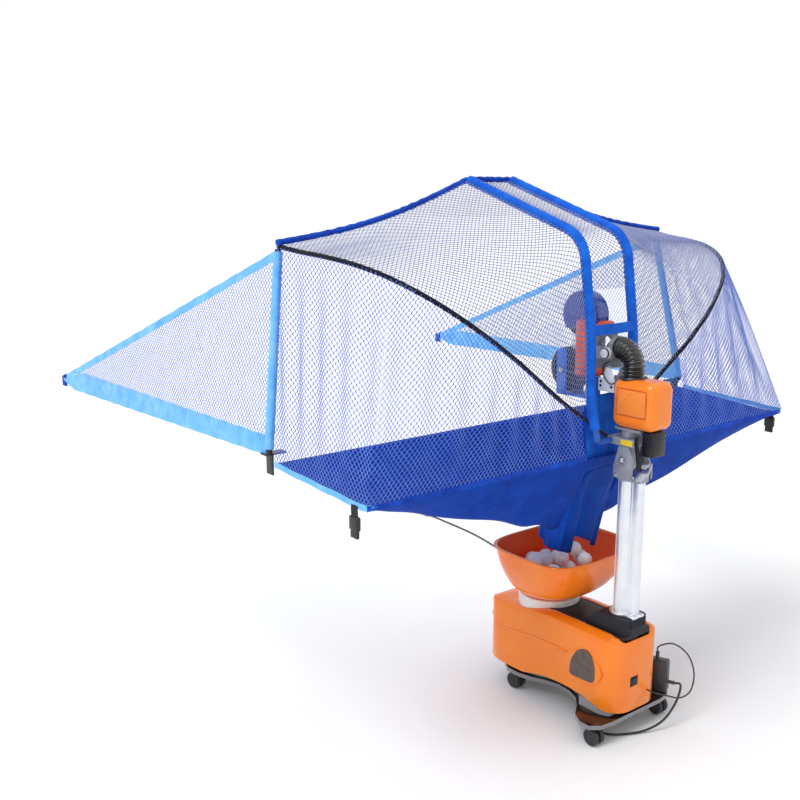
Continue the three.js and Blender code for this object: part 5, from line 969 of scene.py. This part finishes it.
rim_front, tray_tip = np.array((771, 16, 746.0)), np.array((770, 373, 727.0))
rim_centre = np.array((91, 369, 722.0))
forward = (peak - arm_bend) / np.linalg.norm(peak - arm_bend) * 7.8
hem_centre, hem_end = peak + forward, rod_at(0) + (6, 6, 9)
shares = np.linspace(0, 1, 121)
rod_line = np.concatenate([[hem_end], resampled(covered, count=120) + (3, 4, 4)])
rim_line = np.array([rim_front + (tray_tip - rim_front) * s * 2 if s < 0.5
                     else tray_tip + (rim_centre - tray_tip) * (s * 2 - 1) for s in shares]) + (0, 0, 8.8)
turn_height, ridge_from = 871, 1120  # where canopy and ridge end on the arms
to_turn = arm_path[arm_path[:, 2] > turn_height]
arm_line = resampled(np.concatenate([[hem_centre], to_turn]), count=121) + (7, 0, 0)
canopy = netting(arm_line, rod_line, high_trim=3, sag=25)
skirt = netting(rim_line - (0, 0, 6), rod_line, high_trim=3, waves=5.0)
for sign, side in sides:
    net_piece("canopy_mesh_" + side, sign, canopy, canopy_yarn, held="stretched",
              rests_on=["net_arms", "spreader_rod_" + side])
    net_piece("skirt_mesh_" + side, sign, skirt, skirt_yarn, held="hung",
              rests_on=["spreader_rod_" + side, "pole_" + side])
ridge = resampled([p for p in arm_line - (7, 0, 0) if p[2] > ridge_from], count=121)
between = netting(ridge * (-1, 1, 1) + (7, 0, 0), ridge - (7, 0, 0), sag=9)
net_piece("ridge_mesh", 1, between, canopy_yarn, held="stretched", rests_on=["net_arms"])


def tape(name, line, across, thickness, material, sign=1, slot=None, puff=0.0):
    """A flat woven tape along a line (mm), as wide as twice the vector across at each point."""
    line = np.asarray(line, float)
    across = np.broadcast_to(np.asarray(across, float), line.shape)
    along = np.gradient(line, axis=0)
    face_normal = np.cross(along, across)
    face_normal /= np.linalg.norm(face_normal, axis=1)[:, None]
    rings = []
    for place, out, normal in zip(line, across, face_normal):
        marks = [(-1, 0.35), (-0.9, 0.5), (-0.82, 0.36), (-0.4, 0.45 + puff), (0, 0.5 + puff),
                 (0.4, 0.45 + puff), (0.82, 0.36), (0.9, 0.5), (1, 0.35)]
        ring = [place + out * u + normal * thickness * w for u, w in marks]
        ring += [place + out * u - normal * thickness * w for u, w in reversed(marks)]
        rings.append(mirrored(ring, sign))
    return dress(closed_up(skin(name, rings, smooth=50), None, welded=False), material, slot=slot)


for sign, side in sides:
    rim = resampled(rounded_path([rim_front, tray_tip, rim_centre], 14), step=12)
    rim[:, 2] += 0.8 * np.sin(np.arange(len(rim)) * 0.7)
    beside = rim[:, 0] > 730
    run_out = np.clip((rim[beside][:, 0] - 728) / 34, 0.15, 1)[:, None] * (0, 0, 7)
    tape("rim_band_" + side, rim[beside] - (0, 0, 3.5), run_out, 1.8, band_cloth, sign)
    rear = rim[np.flatnonzero(rim[:, 0] < 764)[0] - 1:]
    tape("rim_seam_" + side, rear - (0, 0, 4), (0, 0, 6.5), 1.8, hem_cloth, sign)
    run = resampled(rounded_path([hem_centre * (0, 1, 1), hem_centre + (3, 0, 0), hem_end], 12), step=4)
    run[:, 2] -= 25 * np.sin(pi * np.clip((run[:, 0] - hem_centre[0]) / (hem_end[0] - hem_centre[0]), 0, 1))
    hem = dress(tube("front_hem_" + side, mirrored(run, sign), gathered(run, 7.6, 0.9, 33), 24), hem_cloth)
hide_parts("catch_net")


# ---- Side wings ----
# A triangle of the same mesh along each side of the table, with a wide light blue band below and a
# narrow one above. They meet at the far tip in a sewn tab, which is tied to the table's own net post.

wing_foot, wing_top = np.array((777, -10.8, 769.0)), np.array((698, -76.8, 1228.0))
wing_tip = np.array((802, -1268, 766.0))
wing_height = np.linalg.norm(wing_top - wing_foot)
apex = (wing_tip - wing_foot) / 0.995 + wing_foot


def wing_at(along, across):
    """A place on the wing: along from the pole to the far tip, across from the low edge to the high one."""
    return (wing_foot + (wing_top - wing_foot) * across) * (1 - along) + apex * along


low_edge, high_edge = ([wing_at(a, across) for a in np.linspace(0, 0.9, 60)] for across in (0.01, 0.99))
knit = netting(low_edge, high_edge, 26, 14)
for sign, side in sides:
    net_piece("wing_mesh_" + side, sign, knit, wing_yarn, held="stretched", rests_on=["pole_" + side])
    for edge, width, most, slack in (("low", 38, 0.56, 1), ("high", 22, 0.42, 0)):
        line, outs = [], []
        for a in np.linspace(0, 0.985, 70):
            share = min(width / (wing_height * (1 - a)), most)
            one, two = (wing_at(a, s) for s in ((0, share) if edge == "low" else (1 - share, 1)))
            hang = np.array((0, 0, (8 + 20 * a) * slack)) * min(1, (1 - a) * 12)
            line.append((one + two - hang) / 2 + (0, 0, 0.7 * sin(a * 90)))
            outs.append((two - one + hang) / 2)
        tape("wing_%s_band_%s" % (edge, side), line, outs, 1.6, band_cloth, sign, puff=0.15)
    tip_loop = tape("wing_tip_tab_" + side, [wing_at(a, 0.5) - (0, 0, 11) for a in (0.966, 0.98, 0.994)],
                    [(0, 0, 21), (0, 0, 19), (0, 0, 15)], 2.6, hem_cloth, sign)
    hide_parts("side_wing_" + side)


# ---- Cloth tray ----
# One large sheet of close deep blue polyester below the net. It falls from the table's edge to a soft
# keel and rises to the rear rim, so that every ball rolls to the opening in its middle.

opening_half, opening_share, edge_x, rim_x, keel_slope = 75, 0.85, 763.8, 770, 0.332
tray_front, tray_rear = np.array((0, 9, 742.0)), np.array((0, 369, 716.0))
tray_cloth = cloth("woven_polyester_navy", "#0244B2", "#013596", 3.0, 0.8, 0.06)


def keel_at(x):
    """The tray's lowest line, which rises from the middle to both sides."""
    out = abs(x) / rim_x
    return np.array((x, 250 + 85 * out, max(500.0, 720 - keel_slope * (rim_x - abs(x)))))


def tray_at(x, share):
    """The cloth at x and a share: -1 at the table's edge, 0 at the keel, 1 at the rear rim."""
    edge = (tray_front if share < 0 else tray_rear) + (x, 0, 0)
    point = keel_at(x) + (edge - keel_at(x)) * abs(share)
    out = abs(x) / (rim_x - 6)
    round_keel = 16 * exp(-(share / 0.09) ** 2) * min(1, out * 6) * (1 - out)
    hang = -9 * sin(pi * min(abs(share), 1)) * sin(pi * min(out, 1)) ** 0.5
    gather = (1 - abs(share)) ** 1.3 * 5.5 * sin(x / 27 + 3 * sin(x / 140) + share * 4) * (1 - out) ** 0.7
    long_fold = 4.0 * sin(abs(x) / 95 + share * 5.5) * sin(pi * abs(share)) * (1 - out)
    point[2] += round_keel + hang + (gather + long_fold if abs(x) > opening_half - 1 else 0)
    return point


def marked(stops, counts, digits):
    """Marks from stop to stop, in each stretch as many as its count says."""
    stretches = [np.linspace(a, b, count) for a, b, count in zip(stops, stops[1:], counts)]
    return np.unique(np.round(np.concatenate(stretches), digits))


columns = marked((-edge_x, -opening_half, opening_half, edge_x), (96, 21, 96), 4)
rows = marked((-1, opening_share - 1, opening_share, 1), (28, 28, 6), 5)
points = [at(*tray_at(x, s)) for x in columns for s in rows]
faces = []
for i in range(len(columns) - 1):
    for j in range(len(rows) - 1):
        middle_x, middle_s = (columns[i] + columns[i + 1]) / 2, (rows[j] + rows[j + 1]) / 2
        if abs(middle_x) < opening_half and opening_share - 1 < middle_s < opening_share:
            continue
        a = i * len(rows) + j
        faces.append((a, a + len(rows), a + len(rows) + 1, a + 1))
tray_sheet = mesh_piece("tray_cloth", points, faces, 180)
thicken(tray_sheet, 0.0012, 0)
dress(tray_sheet, tray_cloth, "catch_tray")


# ---- Chute sleeve ----
# A sewn tube of the same cloth that hangs from the tray's opening into the bowl, longer in front, with
# deep soft folds where it narrows. Painted shade darkens its colour higher up, under the tray, and on its
# back.

sleeve_blue = cloth("woven_polyester_bright_blue_painted_shade", "#1260E2", "#0A4CC4", 3.0, 0.8, 0.12)
tree = sleeve_blue.node_tree
coords = tree.nodes["Texture Coordinate"]
# Painted shade: the colour's value is lowered higher up under the tray and on faces that turn to the rear.
place = add(tree, "SeparateXYZ", Vector=coords.outputs["Object"])
facing = add(tree, "SeparateXYZ", Vector=coords.outputs["Normal"])
low = add(tree, "MapRange", {"From Min": 0.62, "From Max": 0.54, "To Min": 0.5, "To Max": 1.0},
          Value=place.outputs["Z"])
painted_shade_rear = add(tree, "MapRange", {"From Min": 0.3, "From Max": 0.8, "To Min": 1.0, "To Max": 0.55},
               Value=facing.outputs["Y"])
painted_shade_amount = add(tree, "Math", {"operation": "MINIMUM"}, low, painted_shade_rear)
base = tree.nodes["Principled BSDF"].inputs["Base Color"]
# The painted shade is applied to the cloth's colour here.
painted_shade_colour = add(tree, "HueSaturation", Color=base.links[0].from_socket, Value=painted_shade_amount)
tree.links.new(painted_shade_colour.outputs["Color"], base)
mouth_front = tray_front + (keel_at(0) - tray_front) * opening_share
mouth_rear = keel_at(0) + (tray_rear - keel_at(0)) * opening_share
hem_front, hem_rear = np.array((0, 166, 478.0)), np.array((0, 298, 488.0))
sleeve_points, squareness, mouth_half, tail_length = 160, 3.4, 73.8, 46
sleeve_rings = []
for down in np.linspace(0, 1, 30):
    ring = []
    front, rear = mouth_front * (1 - down) + hem_front * down, mouth_rear * (1 - down) + hem_rear * down
    for k in range(sleeve_points):
        angle = 2 * pi * k / sleeve_points
        c, s = cos(angle), sin(angle)
        u, v = copysign(abs(c) ** (2 / squareness), c), copysign(abs(s) ** (2 / squareness), s)
        ripple = angle * 6 + 1.3 * sin(angle * 2 + down * 2) + down * 1.2
        fold = 4.5 * down ** 0.7 * (1 + cos(ripple)) + 1.2 * down * (1 + sin(angle * 17 + down * 5))
        y = (front[1] + rear[1]) / 2 + v * ((rear[1] - front[1]) / 2 - 1.2 - fold)
        x = u * (mouth_half - fold - 6 * down + 6 * sin(pi * down))
        if v > 0.97:
            tail = tail_length * min(max((0.7 - u) / 1.5, 0), 1)
        elif u > 0:
            tail = min(max(v + 1, 0) / 0.5, 1) ** 0.7 * (36 + 7 * (v + 1)) * min((0.97 - v) / 0.06, 1)
        else:
            tail = tail_length * min(max((v + 0.9) / 1.6, 0), 1)
        hem = front[2] + (rear[2] - front[2]) * (v + 1) / 2 - tail
        keel = keel_at(x)
        far = tray_front if y < keel[1] else tray_rear
        top = keel[2] + (far[2] - keel[2]) * (y - keel[1]) / (far[1] - keel[1])
        ring.append(at(x, y, top * (1 - down) + (hem + 2.0 * sin(angle * 5)) * down))
    sleeve_rings.append(ring)
sleeve = skin("chute_sleeve_cloth", sleeve_rings, smooth=180)
thicken(sleeve, 0.0012, 0)
dress(sleeve, sleeve_blue, "chute_sleeve")


# ---- Curtain and strap ----
# A gathered cloth panel that closes the gap between the arms below the head, and a flat webbing strap
# behind the arms that keeps them at their spacing.

curtain_y, curtain_low, curtain_height, curtain_wave = 356.5, 708, 164, 2.8
curtain_rows = []
for share in np.linspace(0, 1, 121):
    curtain_rows.append([])
    for level in np.linspace(0, 1, 24):
        wave = curtain_wave * sin(share * 7 * pi + 0.9 * sin(level * 3)) * (1 - level * 0.5)
        curtain_rows[-1].append(at(arm_half * (2 * share - 1), curtain_y + wave,
                                   curtain_low + curtain_height * level))
curtain = skin("curtain_cloth", curtain_rows, closed=False, smooth=180)
thicken(curtain, 0.0012, 0)
dress(curtain, sleeve_cloth, "curtain")
strap_line = [(x, 365.5 + 0.4 * cos(x / 30), 1035 - 1.2 * cos(x / arm_half * pi / 2))
              for x in np.linspace(-arm_half, arm_half, 25)]
strap = tape("arm_strap_webbing", strap_line, (0, 0, 13), 2.0, sleeve_cloth, slot="blue_band")
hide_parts("arm_strap")


# ---- Buckles ----
# A black side-release buckle on a short webbing tail at each rear corner of the rim, moulded in acetal,
# for the strap that draws the net down when it is packed.

acetal = finish("moulded_acetal_black", "black_plastic", "#242428", "#18181B", 8, 0.32, 0.8, 0.03, IOR=1.48)
webbing = cloth("woven_webbing_black", "#2B2B30", "#1B1B1F", 2.0)
for sign, side in sides:
    tail = [(770, 334, 727), (771.5, 334, 716), (771, 334, 704), (770, 334, 694)]
    tape("buckle_tail_" + side, tail, (0, 12, 0), 1.4, webbing, sign)
    for part, xs, low, high, round_off in (("frame", (765, 776), (318, 668), (350, 700), 4.2),
                                           ("tongue", (766.5, 774.5), (321, 651), (347, 671), 3.4)):
        near, far = sorted(sign * x for x in xs)
        dress(soft_box("buckle_%s_%s" % (part, side), (near, *low), (far, *high), round_off, 4), acetal)
